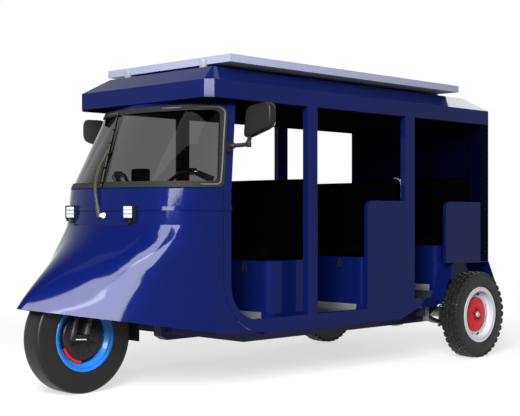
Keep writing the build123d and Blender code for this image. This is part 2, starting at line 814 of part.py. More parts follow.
def roof_plan(inset_x, inset_y, corner):
    """Roof outline with its front corners cut off."""
    half = HALF_WIDTH - inset_x
    front, rear = back(ROOF_FRONT + inset_y), back(ROOF_REAR - inset_y)
    with BuildLine() as outline:
        Polyline(
            (-half + corner, front),
            (half - corner, front),
            (half, front + corner),
            (half, rear),
            (-half, rear),
            (-half, front + corner),
            close=True,
        )
    make_face(outline.edges())


# Roof: a fascia all round, hips up to a plateau, hollow below, and the rack under the module
with BuildPart() as roof_shell:
    with BuildSketch(Plane.XY.offset(ROOF_BOTTOM)):
        roof_plan(0, 0, ROOF_CORNER)
    extrude(amount=FASCIA_TOP - ROOF_BOTTOM)
    with BuildSketch(Plane.XY.offset(FASCIA_TOP)):
        roof_plan(0, 0, ROOF_CORNER)
    with BuildSketch(Plane.XY.offset(PLATEAU_Z)):
        roof_plan(ROOF_HIP_X, ROOF_HIP_Y, PLATEAU_CORNER)
    loft()
    with BuildSketch(Plane.XY.offset(ROOF_BOTTOM + SHEET)):
        roof_plan(ROOF_RAIL, ROOF_RAIL, ROOF_CORNER / 2)
    extrude(amount=FASCIA_TOP - ROOF_BOTTOM - SHEET, mode=Mode.SUBTRACT)
    with BuildSketch(Plane.XY.offset(FASCIA_TOP)):
        roof_plan(ROOF_RAIL, ROOF_RAIL, ROOF_CORNER / 2)
    with BuildSketch(Plane.XY.offset(PLATEAU_Z - ROOF_SKIN)):
        roof_plan(ROOF_HIP_X + ROOF_SKIN, ROOF_HIP_Y + ROOF_SKIN, PLATEAU_CORNER)
    loft(mode=Mode.SUBTRACT)
    block(
        -SOFFIT_HALF,
        SOFFIT_HALF,
        ROOF_FRONT + SOFFIT_END,
        ROOF_REAR - SOFFIT_END,
        ROOF_BOTTOM - GAP,
        ROOF_BOTTOM + SHEET + GAP,
        Mode.SUBTRACT,
    )
    rack_x = MODULE_WIDTH / 2 - RACK_SIDE
    for side in (-1, 1):
        block(
            side * rack_x - RACK_WIDTH / 2,
            side * rack_x + RACK_WIDTH / 2,
            MODULE_FRONT + RACK_INSET,
            MODULE_FRONT + MODULE_LENGTH - RACK_INSET,
            PLATEAU_Z,
            MODULE_BOTTOM,
        )
finish(roof_shell, "roof_shell")

# Solar module: an aluminium frame round a slightly sunk laminate
with BuildPart() as solar_module:
    half = MODULE_WIDTH / 2
    module_rear = MODULE_FRONT + MODULE_LENGTH
    block(-half, half, MODULE_FRONT, module_rear, MODULE_BOTTOM, MODULE_TOP)
    block(
        -half + MODULE_LIP,
        half - MODULE_LIP,
        MODULE_FRONT + MODULE_LIP,
        module_rear - MODULE_LIP,
        MODULE_TOP - MODULE_RECESS,
        MODULE_TOP,
        Mode.SUBTRACT,
    )
finish(solar_module, "solar_module")

# Seats: a hollow box with rounded corners, a cushion on it and a backrest behind
for name, front, rear, floor, base_height, back_height in SEAT_ROWS:
    middle = (front + rear) / 2
    base_top = floor + base_height
    back_top = base_top + back_height
    with BuildPart() as seat_box:
        for inset, mode in ((0.0, Mode.ADD), (SEAT_WALL, Mode.SUBTRACT)):
            with BuildSketch(Plane.XY.offset(floor)):
                with Locations((0, back(middle))):
                    width = 2 * (SEAT_HALF - GAP - inset)
                    RectangleRounded(width, rear - front - 2 * inset, SEAT_CORNER - inset)
            extrude(amount=base_top - floor - inset, mode=mode)
    finish(seat_box, f"seat_box_{name}")

    with BuildPart() as cushion:
        with BuildSketch(Plane.XY.offset(base_top + GAP)):
            with Locations((0, back(middle - CUSHION_OVERHANG))):
                RectangleRounded(2 * SEAT_HALF, rear - front, SEAT_CORNER)
        extrude(amount=CUSHION)
        fillet(cushion.edges().group_by(Axis.Z)[-1], CUSHION_EDGE)
    finish(cushion, f"cushion_{name}")

    with BuildPart() as backrest:
        back_front = rear - CUSHION_OVERHANG + GAP
        with BuildSketch(Plane.XZ.offset(-back(back_front))) as face:
            with Locations((0, (base_top + GAP + back_top) / 2)):
                Rectangle(2 * SEAT_HALF, back_top - base_top - GAP)
            fillet(face.vertices().group_by(Axis.Y)[-1], BACK_CORNER)
        extrude(amount=-BACK_THICK)
    finish(backrest, f"backrest_{name}")

# Battery pack: one plain block inside the front seat box
with BuildPart() as battery_pack:
    name, front, rear, floor, base_height, back_height = SEAT_ROWS[0]
    block(
        BATTERY_SIDE - SEAT_HALF,
        SEAT_HALF - BATTERY_SIDE,
        front + BATTERY_MARGIN,
        rear - BATTERY_MARGIN,
        floor,
        floor + BATTERY_HEIGHT,
    )
finish(battery_pack, "battery_pack")

# Rear axle: tube, casting, motor, drums and spindles
with BuildPart() as rear_axle:
    rod((-DRUM_X, back(REAR_AXLE), REAR_RADIUS), (DRUM_X, back(REAR_AXLE), REAR_RADIUS), AXLE_RADIUS)
    with BuildSketch(Plane.XY.offset(REAR_RADIUS)) as casting:
        with Locations((0, back(REAR_AXLE))):
            Circle(CASTING_RADIUS)
            with Locations((0, CASTING_RADIUS)):
                Rectangle(4 * CASTING_RADIUS, 2 * CASTING_RADIUS, mode=Mode.SUBTRACT)
    revolve(casting.sketch, axis=Axis((0, back(REAR_AXLE), REAR_RADIUS), (1, 0, 0)))
    rod((0, back(REAR_AXLE), REAR_RADIUS), (0, back(MOTOR_REAR), REAR_RADIUS), MOTOR_RADIUS)
    for side in (-1, 1):
        rod(
            (side * DRUM_X, back(REAR_AXLE), REAR_RADIUS),
            (side * DRUM_OUTER_X, back(REAR_AXLE), REAR_RADIUS),
            DRUM_RADIUS,
        )
        rod(
            (side * DRUM_X, back(REAR_AXLE), REAR_RADIUS),
            (side * (REAR_WHEEL_X + HUB_BOSS_OUT), back(REAR_AXLE), REAR_RADIUS),
            REAR_SPINDLE,
        )
finish(rear_axle, "rear_axle")

# Leaf springs with their hangers and the plates that hold the axle
with BuildPart() as leaf_springs:
    front_eye, rear_eye = REAR_AXLE - SPRING_HALF, REAR_AXLE + SPRING_HALF
    for side in (-1, 1):
        low, high = side * SPRING_X - SPRING_WIDTH / 2, side * SPRING_X + SPRING_WIDTH / 2
        with BuildSketch(Plane.YZ.offset(low)):
            with BuildLine():
                ThreePointArc(
                    (back(front_eye), SPRING_EYE_Z),
                    (back(REAR_AXLE), SPRING_LOW_Z),
                    (back(rear_eye), SPRING_EYE_Z),
                )
                Line(
                    (back(rear_eye), SPRING_EYE_Z), (back(rear_eye), SPRING_EYE_Z + LEAF_THICK)
                )
                ThreePointArc(
                    (back(rear_eye), SPRING_EYE_Z + LEAF_THICK),
                    (back(REAR_AXLE), SPRING_LOW_Z + SPRING_STACK),
                    (back(front_eye), SPRING_EYE_Z + LEAF_THICK),
                )
                Line(
                    (back(front_eye), SPRING_EYE_Z + LEAF_THICK), (back(front_eye), SPRING_EYE_Z)
                )
            make_face()
        extrude(amount=SPRING_WIDTH)
        block(
            low,
            high,
            front_eye - HANGER_HALF,
            front_eye + HANGER_HALF,
            SPRING_EYE_Z - HANGER_DROP,
            floor_bottom - GAP,
        )
        block(
            low, high, rear_eye - SHACKLE_DEPTH, rear_eye, SPRING_EYE_Z, kick + RAIL_HEIGHT / 2
        )
        block(
            low,
            high,
            REAR_AXLE - SEAT_PLATE_HALF,
            REAR_AXLE + SEAT_PLATE_HALF,
            SPRING_LOW_Z - LEAF_THICK,
            REAR_RADIUS,
        )
    add(rear_axle.part, mode=Mode.SUBTRACT)
    add(chassis_frame.part, mode=Mode.SUBTRACT)
finish(leaf_springs, "leaf_springs")

# Mudflap behind the front wheel, with its bracket to the spine
with BuildPart() as front_mudflap:
    block(-FLAP_HALF, FLAP_HALF, FLAP_PLACE, FLAP_PLACE + SHEET, FLAP_BOTTOM, FLAP_TOP)
    block(
        -FLAP_BRACKET_HALF,
        FLAP_BRACKET_HALF,
        FLAP_PLACE,
        SPINE_REAR,
        FLAP_TOP - FLAP_BRACKET,
        FLAP_TOP,
    )
    add(chassis_frame.part, mode=Mode.SUBTRACT)
finish(front_mudflap, "front_mudflap")

# Lamps on the cowl: a box with a sunk face, on a foot
with BuildPart() as work_lamps:
    half = LAMP_WIDTH / 2
    for x in (-LAMP_X, LAMP_X):
        block(x - half, x + half, LAMP_FRONT, LAMP_FRONT + LAMP_DEPTH, LAMP_LOW, LAMP_HIGH)
        block(
            x - half + LAMP_LIP,
            x + half - LAMP_LIP,
            LAMP_FRONT,
            LAMP_FRONT + LAMP_LIP,
            LAMP_LOW + LAMP_LIP,
            LAMP_HIGH - LAMP_LIP,
            Mode.SUBTRACT,
        )
        block(
            x - LAMP_FOOT,
            x + LAMP_FOOT,
            LAMP_FRONT + LAMP_DEPTH / 2,
            LAMP_FRONT + 2 * LAMP_DEPTH,
            LAMP_FOOT_LOW,
            LAMP_LOW,
        )
    add(cowl_form.part, mode=Mode.SUBTRACT)
finish(work_lamps, "work_lamps")


def place(point):
    """A point given as x, distance behind the front axle and z."""
    x, behind, z = point
    return (x, back(behind), z)


# Wiper: pivot, arm and blade
with BuildPart() as wiper:
    x, behind, z = WIPER_PIVOT
    rod(place((x, behind - WIPER_ARM, z)), place((x, behind + LAMP_DEPTH, z)), 2 * WIPER_ARM)
    arm = [WIPER_PIVOT, WIPER_ELBOW, WIPER_BEND, WIPER_END]
    for start, end in zip(arm, arm[1:]):
        rod(place(start), place(end), WIPER_ARM)
    rod(place(BLADE_LOW), place(BLADE_HIGH), WIPER_BLADE)
    add(cowl_form.part, mode=Mode.SUBTRACT)
finish(wiper, "wiper")

# Mirrors
with BuildPart() as mirrors:
    half = MIRROR_WIDTH / 2
    for side in (-1, 1):
        root, elbow = [place((side * x, behind, z)) for x, behind, z in (MIRROR_ROOT, MIRROR_ELBOW)]
        rod(root, elbow, MIRROR_ARM)
        stalk_top = (elbow[0], back(MIRROR_PLACE), MIRROR_LOW + MIRROR_CORNER)
        rod(elbow, stalk_top, MIRROR_ARM)
        with BuildSketch(Plane.XZ.offset(-back(MIRROR_PLACE + MIRROR_DEPTH / 2))) as head:
            with BuildLine():
                Polyline(
                    (side * (MIRROR_X - half), MIRROR_LOW),
                    (side * (MIRROR_X + half), MIRROR_LOW + MIRROR_TAPER),
                    (side * (MIRROR_X + half), MIRROR_HIGH),
                    (side * (MIRROR_X - half), MIRROR_HIGH - MIRROR_TAPER / 2),
                    close=True,
                )
            make_face()
            fillet(head.vertices(), MIRROR_CORNER)
        extrude(head.sketch, amount=MIRROR_DEPTH)
    add(screen_frame.part, mode=Mode.SUBTRACT)
    add(windscreen_seal.part, mode=Mode.SUBTRACT)
finish(mirrors, "mirrors")

# Tail lamps on the rear wall
with BuildPart() as tail_lamps:
    half = TAIL_WIDTH / 2
    for x in (-TAIL_X, TAIL_X):
        block(x - half, x + half, POSTS[2][1], POSTS[2][1] + TAIL_DEPTH, TAIL_LOW, TAIL_HIGH)
finish(tail_lamps, "tail_lamps")

# Grab handles at the ends of the middle backrest
with BuildPart() as grab_rails:
    name, front, rear, floor, base_height, back_height = SEAT_ROWS[1]
    back_top = floor + base_height + back_height
    grab_x = SEAT_HALF + GRAB_RADIUS + GAP
    grab_y = back(rear - CUSHION_OVERHANG + BACK_THICK / 2)
    grab_top = back_top + GRAB_RADIUS + GAP
    for side in (-1, 1):
        with BuildLine() as handle:
            FilletPolyline(
                (side * grab_x, grab_y, back_top - GRAB_DROP),
                (side * grab_x, grab_y, grab_top),
                (side * (grab_x - GRAB_REACH), grab_y, grab_top),
                radius=GRAB_BEND,
            )
        with BuildSketch(Plane(handle.line @ 0, z_dir=handle.line % 0)) as section:
            Circle(GRAB_RADIUS)
        sweep(section.sketch, path=handle.line)
finish(grab_rails, "grab_rails")


def tyre_profile(radius, half, shoulder, flange):
    """Full section of a tyre on the plane through its axle."""
    bead = half - BEAD_STEP
    with BuildSketch(Plane.XZ) as section:
        with BuildLine():
            Polyline(
                (-bead, RIM_SEAT + GAP),
                (-bead, flange + GAP),
                (-half, flange + BEAD_STEP),
                (-half, radius),
                (half, radius),
                (half, flange + BEAD_STEP),
                (bead, flange + GAP),
                (bead, RIM_SEAT + GAP),
                close=True,
            )
        make_face()
        fillet(section.vertices().group_by(Axis.Y)[-1], shoulder)
    return section.sketch


for name, centre_x, behind, radius, half, shoulder, flange, bore in WHEELS:
    outward = -1 if centre_x < 0 else 1
    centre = Pos(centre_x, back(behind), radius)
    with BuildPart() as tyre:
        revolve(tyre_profile(radius, half, shoulder, flange), axis=Axis.X)
    tyre.part = centre * tyre.part
    finish(tyre, f"tyre_{name}")

    barrel = half - BEAD_STEP + GAP
    with BuildPart() as rim:
        with BuildSketch(Plane.XZ) as section:
            with Locations((0, RIM_SEAT - RIM_WALL)):
                Rectangle(2 * barrel, RIM_WALL, align=(Align.CENTER, Align.MIN))
            for x in (-barrel - FLANGE_THICK / 2, barrel + FLANGE_THICK / 2):
                with Locations((x, RIM_SEAT - RIM_WALL)):
                    Rectangle(
                        FLANGE_THICK, flange - RIM_SEAT + RIM_WALL, align=(Align.CENTER, Align.MIN)
                    )
        revolve(section.sketch, axis=Axis.X)
        disc_x = outward * DISC_X if name != "front" else 0.0
        with BuildSketch(Plane.YZ.offset(disc_x - DISC_THICK / 2)) as disc:
            Circle(RIM_SEAT - RIM_WALL / 2)
            Circle(DISC_BORE if name != "front" else FRONT_HUB + GAP, mode=Mode.SUBTRACT)
            if name != "front":
                for quarter in range(4):
                    for turn in (-DISC_SLOT_ANGLE, DISC_SLOT_ANGLE):
                        angle = 90.0 * quarter + turn
                        spot = (
                            DISC_SLOT_RADIUS * cos(radians(angle)),
                            DISC_SLOT_RADIUS * sin(radians(angle)),
                        )
                        with Locations(Location((*spot, 0), (0, 0, angle + 90.0))):
                            SlotOverall(*DISC_SLOT, mode=Mode.SUBTRACT)
        extrude(disc.sketch, amount=DISC_THICK)
    rim.part = centre * rim.part
    finish(rim, f"rim_{name}")

    with BuildPart() as hub:
        if name == "front":
            with Locations(Rotation(0, 90, 0)):
                Cylinder(FRONT_HUB, 2 * FRONT_HUB_HALF)
        else:
            inner_x = outward * (DISC_X - DISC_THICK / 2)
            disc_face = outward * (DISC_X + DISC_THICK / 2 + GAP)
            with BuildSketch(Plane.YZ.offset(inner_x)) as boss:
                Circle(HUB_BOSS)
            extrude(boss.sketch, amount=outward * HUB_BOSS_OUT - inner_x)
            with BuildSketch(Plane.YZ.offset(disc_face)) as disc:
                Circle(HUB_DISC)
            extrude(disc.sketch, amount=outward * HUB_DISC_THICK)
        with Locations(Rotation(0, 90, 0)):
            Cylinder(bore + BEARING_GAP, 4 * FRONT_HUB, mode=Mode.SUBTRACT)
    hub.part = centre * hub.part
    finish(hub, f"hub_{name}")

# Fork: crown, legs ahead of the wheel's centre, links back to the spindle, and the stem
lean = tan(radians(LEG_LEAN))
leg_top = LEG_FRONT + (CROWN_Z - FRONT_RADIUS) * lean
shock_top = SHOCK_FRONT + (CROWN_Z - FRONT_RADIUS) * lean
with BuildPart() as front_fork:
    for side in (-1, 1):
        x = side * FORK_LEG_X
        rod(place((x, LEG_FRONT, FRONT_RADIUS)), place((x, leg_top, CROWN_Z)), FORK_LEG_RADIUS)
        block(
            x - LINK_THICK / 2,
            x + LINK_THICK / 2,
            LEG_FRONT - FORK_LEG_RADIUS,
            LINK_HEIGHT / 2,
            FRONT_RADIUS - LINK_HEIGHT / 2,
            FRONT_RADIUS + LINK_HEIGHT / 2,
        )
    spindle_half = FORK_LEG_X + LINK_THICK
    rod((-spindle_half, back(0), FRONT_RADIUS), (spindle_half, back(0), FRONT_RADIUS), SPINDLE)
    block(
        -CROWN_HALF,
        CROWN_HALF,
        CROWN_FRONT,
        CROWN_REAR,
        CROWN_Z - CROWN_THICK / 2,
        CROWN_Z + CROWN_THICK / 2,
    )
    rod(on_axis(CROWN_Z), on_axis(CLAMP_Z), STEM_RADIUS)
    clamp_front = on_axis(CLAMP_Z).Y - back(0)
    block(
        -CLAMP_HALF,
        CLAMP_HALF,
        clamp_front,
        BAR_POINTS[0][1] + CLAMP_DEPTH / 2,
        CLAMP_Z - CLAMP_HEIGHT / 2,
        CLAMP_Z + CLAMP_HEIGHT / 2,
    )
    rod(
        (-2 * CLAMP_HALF, back(BAR_POINTS[0][1]), CLAMP_Z),
        (2 * CLAMP_HALF, back(BAR_POINTS[0][1]), CLAMP_Z),
        BAR_RADIUS,
        Mode.SUBTRACT,
    )
finish(front_fork, "front_fork")

# Shocks behind the legs
with BuildPart() as front_shocks:
    for side in (-1, 1):
        x = side * FORK_LEG_X
        rod(
            place((x, SHOCK_FRONT, FRONT_RADIUS + LINK_HEIGHT / 2)),
            place((x, shock_top, CROWN_Z - CROWN_THICK / 2)),
            SHOCK_RADIUS,
        )
    add(front_fork.part, mode=Mode.SUBTRACT)
finish(front_shocks, "front_shocks")

# Handlebar
with BuildPart() as handlebar:
    right_half = [(-x, behind, z) for x, behind, z in (GRIP_END, *reversed(BAR_POINTS))]
    with BuildLine() as bar:
        points = [place(point) for point in (*right_half, *BAR_POINTS, GRIP_END)]
        FilletPolyline(*points, radius=BAR_BEND)
    with BuildSketch(Plane(bar.line @ 0, z_dir=bar.line % 0)) as section:
        Circle(BAR_RADIUS)
    sweep(section.sketch, path=bar.line)
finish(handlebar, "handlebar")

# Instrument pod over the clamp
with BuildPart() as instrument_pod:
    block(-POD_HALF, POD_HALF, POD_FRONT, POD_FRONT + POD_DEPTH, POD_BOTTOM, POD_TOP)
    add(front_fork.part, mode=Mode.SUBTRACT)
finish(instrument_pod, "instrument_pod")
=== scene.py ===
import json
import math

import bpy
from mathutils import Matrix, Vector


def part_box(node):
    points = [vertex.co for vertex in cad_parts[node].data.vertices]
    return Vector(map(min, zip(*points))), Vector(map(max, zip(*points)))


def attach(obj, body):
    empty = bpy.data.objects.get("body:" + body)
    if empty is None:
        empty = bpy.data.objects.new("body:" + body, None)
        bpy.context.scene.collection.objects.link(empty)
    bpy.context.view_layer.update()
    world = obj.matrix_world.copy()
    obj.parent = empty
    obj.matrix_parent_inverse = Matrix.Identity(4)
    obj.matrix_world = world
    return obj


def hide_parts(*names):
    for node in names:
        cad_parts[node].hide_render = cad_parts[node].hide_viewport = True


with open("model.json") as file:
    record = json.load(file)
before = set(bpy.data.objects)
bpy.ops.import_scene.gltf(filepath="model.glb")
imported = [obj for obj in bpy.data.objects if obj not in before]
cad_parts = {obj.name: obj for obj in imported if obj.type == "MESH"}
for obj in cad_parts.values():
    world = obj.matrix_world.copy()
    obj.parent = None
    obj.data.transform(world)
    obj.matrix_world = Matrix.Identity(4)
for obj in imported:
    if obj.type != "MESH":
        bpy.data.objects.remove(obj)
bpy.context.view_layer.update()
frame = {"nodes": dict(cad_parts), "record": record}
scene = bpy.context.scene
cadNodes = frame["nodes"]
print("frame loaded:", len(cadNodes), "nodes")


# the photograph's camera: level, looking over the vehicle's front left corner
cameraSet = {
    "place": (5.159, -5.279, 1.008),
    "turn": 44.55,  # degrees from straight ahead
    "lens": 77.0,
    "shiftY": 0.0133,
}


def deselectAll():
    if bpy.context.object and bpy.context.object.mode != "OBJECT":
        bpy.ops.object.mode_set(mode="OBJECT")
    bpy.ops.object.select_all(action="DESELECT")


def addCamera():
    deselectAll()
    turn = math.radians(cameraSet["turn"])
    bpy.ops.object.camera_add(location=cameraSet["place"], rotation=(math.pi / 2, 0, turn))
    camera = bpy.context.object
    camera.name = "photoCamera"
    camera.data.lens = cameraSet["lens"]
    camera.data.shift_y = cameraSet["shiftY"]
    scene.camera = camera


addCamera()

# studio: a white backdrop under a darker ceiling, and soft lamps
studio = {
    "ambient": 0.16,
    "ceiling": 0.1,
    "topLamp": {"place": (0.4, -1.2, 4.6), "size": (3.0, 4.4), "power": 60},
    "keyLamp": {"place": (5.57, -6.7, 3.75), "size": (3.0, 2.6), "power": 1400},
    "highLamp": {"place": (4.1, -7.00, 5.6), "size": (2.4, 2.0), "power": 760},
    "rearLamp": {"place": (-1.08, 6.47, 4.82), "size": (3.0, 3.0), "power": 110},
}


def areaLamp(name, spec, target=(0, 0, 0.8)):
    deselectAll()
    bpy.ops.object.light_add(type="AREA", location=spec["place"])
    lamp = bpy.context.object
    lamp.name = name
    lamp.data.shape = "RECTANGLE"
    lamp.data.size, lamp.data.size_y = spec["size"]
    lamp.data.energy = spec["power"]
    aim = Vector(target) - lamp.location
    lamp.rotation_euler = aim.to_track_quat("-Z", "Y").to_euler()
    return lamp


def addNode(tree, kind, inputs=None, **settings):
    # a shader node, its sockets filled with constants or with other nodes' outputs
    node = tree.nodes.new("ShaderNode" + kind)
    for name, value in settings.items():
        setattr(node, name, value)
    for socket, value in (inputs or {}).items():
        if isinstance(value, bpy.types.NodeSocket):
            tree.links.new(value, node.inputs[socket])
        else:
            node.inputs[socket].default_value = value
    return node


def addRamp(tree, factor, stops):
    # two (position, colour) stops along a factor
    ramp = addNode(tree, "ValToRGB", {"Fac": factor})
    for element, (position, color) in zip(ramp.color_ramp.elements, stops):
        element.position = position
        element.color = (*color, 1)
    return ramp.outputs["Color"]


def grey(value):
    return (value, value, value)


def addWorld():
    world = bpy.data.worlds.new("studioWorld")
    scene.world = world
    world.use_nodes = True
    tree = world.node_tree
    tree.nodes.clear()
    out = addNode(tree, "OutputWorld")
    soft = addNode(tree, "Background", {"Color": (1, 1, 1, 1), "Strength": studio["ambient"]})
    coords = addNode(tree, "TexCoord")
    split = addNode(tree, "SeparateXYZ", {0: coords.outputs["Generated"]})
    stops = ((0.3, grey(1)), (0.7, grey(studio["ceiling"])))
    backdrop = addNode(tree, "Background", {"Color": addRamp(tree, split.outputs["Z"], stops)})
    path = addNode(tree, "LightPath")
    seen = path.outputs["Is Camera Ray"]
    for ray in ("Is Transmission Ray", "Is Glossy Ray"):
        seen = addNode(tree, "Math", {0: seen, 1: path.outputs[ray]}, operation="MAXIMUM").outputs[0]
    mix = addNode(tree, "MixShader", {"Fac": seen, 1: soft.outputs[0], 2: backdrop.outputs[0]})
    tree.links.new(mix.outputs[0], out.inputs["Surface"])


addWorld()
for lampName in ("topLamp", "keyLamp", "highLamp", "rearLamp"):
    areaLamp(lampName, studio[lampName])

# floor: pale round the vehicle, white far off
floorSet = {"size": 60.0, "grey": 0.86, "bounce": 0.25, "glow": 0.66, "fadeFrom": 2.4, "fadeTo": 4.6}


def addFloor():
    deselectAll()
    bpy.ops.mesh.primitive_plane_add(size=floorSet["size"], location=(0, 0, -0.001))
    floor = bpy.context.object
    floor.name = "studioFloor"
    material = bpy.data.materials.new("studioFloorPaint")
    material.use_nodes = True
    tree = material.node_tree
    tree.nodes.clear()
    out = addNode(tree, "OutputMaterial")
    matt = addNode(tree, "BsdfDiffuse", {"Color": (*grey(floorSet["grey"]), 1)})
    glow = addNode(tree, "Emission", {"Strength": 1.0})
    coords = addNode(tree, "TexCoord")
    length = addNode(tree, "VectorMath", {0: coords.outputs["Object"]}, operation="LENGTH")
    reach = {
        "Value": length.outputs["Value"],
        "From Min": floorSet["fadeFrom"],
        "From Max": floorSet["fadeTo"],
        "To Min": floorSet["glow"],
    }
    fade = addNode(tree, "MapRange", reach)
    mix = addNode(tree, "MixShader", {"Fac": fade.outputs["Result"], 1: matt.outputs[0], 2: glow.outputs[0]})
    # light that falls back on the vehicle comes from a duller floor
    path = addNode(tree, "LightPath")
    dull = addNode(tree, "BsdfDiffuse", {"Color": (*grey(floorSet["bounce"]), 1)})
    floorMix = {"Fac": path.outputs["Is Diffuse Ray"], 1: mix.outputs[0], 2: dull.outputs[0]}
    tree.links.new(addNode(tree, "MixShader", floorMix).outputs[0], out.inputs["Surface"])
    floor.data.materials.append(material)


addFloor()
scene.view_settings.view_transform = "Standard"
print("studio set")


# finishes
def finishOf(name, color, metallic=0.0, roughness=0.5, coat=0.0, coatRoughness=0.05, specular=0.15, relief=None):
    # a plain finish, with a fine grain where relief gives its scale and strength
    material = bpy.data.materials.new(name)
    material.use_nodes = True
    inputs = material.node_tree.nodes["Principled BSDF"].inputs
    inputs["Base Color"].default_value = (*color, 1)
    inputs["Metallic"].default_value = metallic
    inputs["Roughness"].default_value = roughness
    inputs["Coat Weight"].default_value = coat
    inputs["Coat Roughness"].default_value = coatRoughness
    inputs["Coat IOR"].default_value = 1.16
    inputs["Specular IOR Level"].default_value = specular
    if relief:
        tree = material.node_tree
        coords = addNode(tree, "TexCoord")
        field = {"Vector": coords.outputs["Object"], "Scale": relief[0], "Detail": 4.0}
        noise = addNode(tree, "TexNoise", field)
        bump = {"Strength": relief[1], "Distance": 0.001, "Height": noise.outputs["Fac"]}
        tree.links.new(addNode(tree, "Bump", bump).outputs["Normal"], inputs["Normal"])
    return material


def tone(material, dark, light, scale):
    # a slow drift of the base colour over the surface
    tree = material.node_tree
    coords = addNode(tree, "TexCoord")
    noise = addNode(tree, "TexNoise", {"Vector": coords.outputs["Object"], "Scale": scale, "Detail": 3.0})
    drift = addRamp(tree, noise.outputs["Fac"], ((0.35, dark), (0.65, light)))
    tree.links.new(drift, tree.nodes["Principled BSDF"].inputs["Base Color"])


navy = (0.002, 0.0048, 0.052)
bodyPaint = finishOf("navyGlossPaint", navy, metallic=0.1, roughness=0.35, coat=1.0, coatRoughness=0.07, specular=0.0)
tone(bodyPaint, (0.0019, 0.0046, 0.05), (0.0021, 0.005, 0.054), 1.5)
framePaint = finishOf("framePaint", (0.012, 0.014, 0.055), roughness=0.45, relief=(220, 0.15))
blackTrim = finishOf("blackTrim", (0.0012, 0.0012, 0.0014), roughness=0.8, specular=0.02, relief=(300, 0.2))
treadAluminium = finishOf("treadAluminium", (0.42, 0.43, 0.45), metallic=0.9, roughness=0.38, relief=(150, 0.2))
tintedGlass = bpy.data.materials.new("tintedGlass")
tintedGlass.use_nodes = True
glassTree = tintedGlass.node_tree
glassTree.nodes.remove(glassTree.nodes["Principled BSDF"])
glassClear = addNode(glassTree, "BsdfTransparent", {"Color": (0.34, 0.345, 0.335, 1)})
glassGloss = addNode(glassTree, "BsdfGlossy", {"Roughness": 0.03})
glassEdge = addNode(glassTree, "LayerWeight", {"Blend": 0.5})
glassRise = addNode(glassTree, "Math", {0: glassEdge.outputs["Facing"], 1: 4.0}, operation="POWER")
glassLift = addNode(glassTree, "Math", {0: glassRise.outputs[0], 1: 0.8, 2: 0.02}, operation="MULTIPLY_ADD")
glassParts = {"Fac": glassLift.outputs[0], 1: glassClear.outputs[0], 2: glassGloss.outputs[0]}
glassMix = addNode(glassTree, "MixShader", glassParts)
glassTree.links.new(glassMix.outputs[0], glassTree.nodes["Material Output"].inputs["Surface"])
sealRubber = finishOf("sealRubber", (0.012, 0.012, 0.012), roughness=0.6, specular=0.1, relief=(400, 0.2))
moduleFrame = finishOf("moduleFrame", (0.2, 0.215, 0.3), metallic=0.0, roughness=0.45, relief=(300, 0.1))
seatVinyl = finishOf("seatVinyl", (0.0004, 0.0004, 0.0005), roughness=0.9, specular=0.0, relief=(500, 0.3))
chromeTube = finishOf("chromeTube", (0.8, 0.8, 0.8), metallic=1.0, roughness=0.12, relief=(60, 0.03))
blackPlastic = finishOf("blackPlastic", (0.006, 0.006, 0.006), roughness=0.42, relief=(500, 0.2))
wiperPaint = finishOf("wiperPaint", (0.03, 0.03, 0.022), roughness=0.5, relief=(400, 0.2))
redLens = finishOf("redLens", (0.35, 0.005, 0.005), roughness=0.15, coat=1.0, relief=(120, 0.2))
castMetal = finishOf("castMetal", (0.32, 0.32, 0.33), metallic=0.6, roughness=0.5, relief=(220, 0.5))
springSteel = finishOf("springSteel", (0.05, 0.05, 0.055), metallic=0.6, roughness=0.5, relief=(160, 0.4))
blackMetal = finishOf("blackMetal", (0.01, 0.01, 0.01), roughness=0.35, relief=(250, 0.2))
tyreRubber = finishOf("tyreRubber", (0.0058, 0.0058, 0.0058), roughness=0.42, specular=0.2, relief=(350, 0.35))
rimBlue = finishOf("rimBlue", (0.01, 0.12, 0.42), roughness=0.3, coat=0.6, relief=(90, 0.05))
rimGrey = finishOf("rimGrey", (0.42, 0.43, 0.46), roughness=0.4, relief=(90, 0.05))
hubRed = finishOf("hubRed", (0.42, 0.004, 0.008), roughness=0.35, coat=0.5, relief=(90, 0.05))

slotFinish = {
    "body_blue": bodyPaint,
    "frame_paint": framePaint,
    "interior_black": blackTrim,
    "tread_plate": treadAluminium,
    "glass": tintedGlass,
    "seal_rubber": sealRubber,
    "module_frame": moduleFrame,
    "seat_vinyl": seatVinyl,
    "chrome": chromeTube,
    "black_plastic": blackPlastic,
    "wiper_metal": wiperPaint,
    "red_lens": redLens,
    "cast_metal": castMetal,
    "spring_steel": springSteel,
    "black_metal": blackMetal,
    "tyre_rubber": tyreRubber,
    "rim_blue": rimBlue,
    "rim_grey": rimGrey,
    "hub_red": hubRed,
}
for entry in frame["record"]["subparts"]:
    node = cadNodes[entry["node"]]
    node.data.materials.clear()
    node.data.materials.append(slotFinish[entry["material_slot"]])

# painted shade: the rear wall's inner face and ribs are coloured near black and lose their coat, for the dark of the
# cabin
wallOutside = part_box("rear_wall")[1][1] - 0.004
wallShadePaint = bodyPaint.copy()
wallShadePaint.name = "rearWallPaintedShade"
wallTree = wallShadePaint.node_tree
wallInputs = wallTree.nodes["Principled BSDF"].inputs
wallPlace = addNode(wallTree, "TexCoord")
wallSplit = addNode(wallTree, "SeparateXYZ", {0: wallPlace.outputs["Object"]})
wallOuter = addNode(wallTree, "Math", {0: wallSplit.outputs["Y"], 1: wallOutside}, operation="GREATER_THAN")
# near-black painted shade on every face inside the wall's outer skin
wallShadeTint = {"Fac": wallOuter.outputs[0], "Color1": (0.0004, 0.0006, 0.006, 1)}
wallShadeTint["Color2"] = wallInputs["Base Color"].links[0].from_socket
wallShadeMix = addNode(wallTree, "MixRGB", wallShadeTint)
wallTree.links.new(wallShadeMix.outputs[0], wallInputs["Base Color"])
wallTree.links.new(wallOuter.outputs[0], wallInputs["Coat Weight"])
cadNodes["rear_wall"].data.materials[0] = wallShadePaint
print("finishes set")


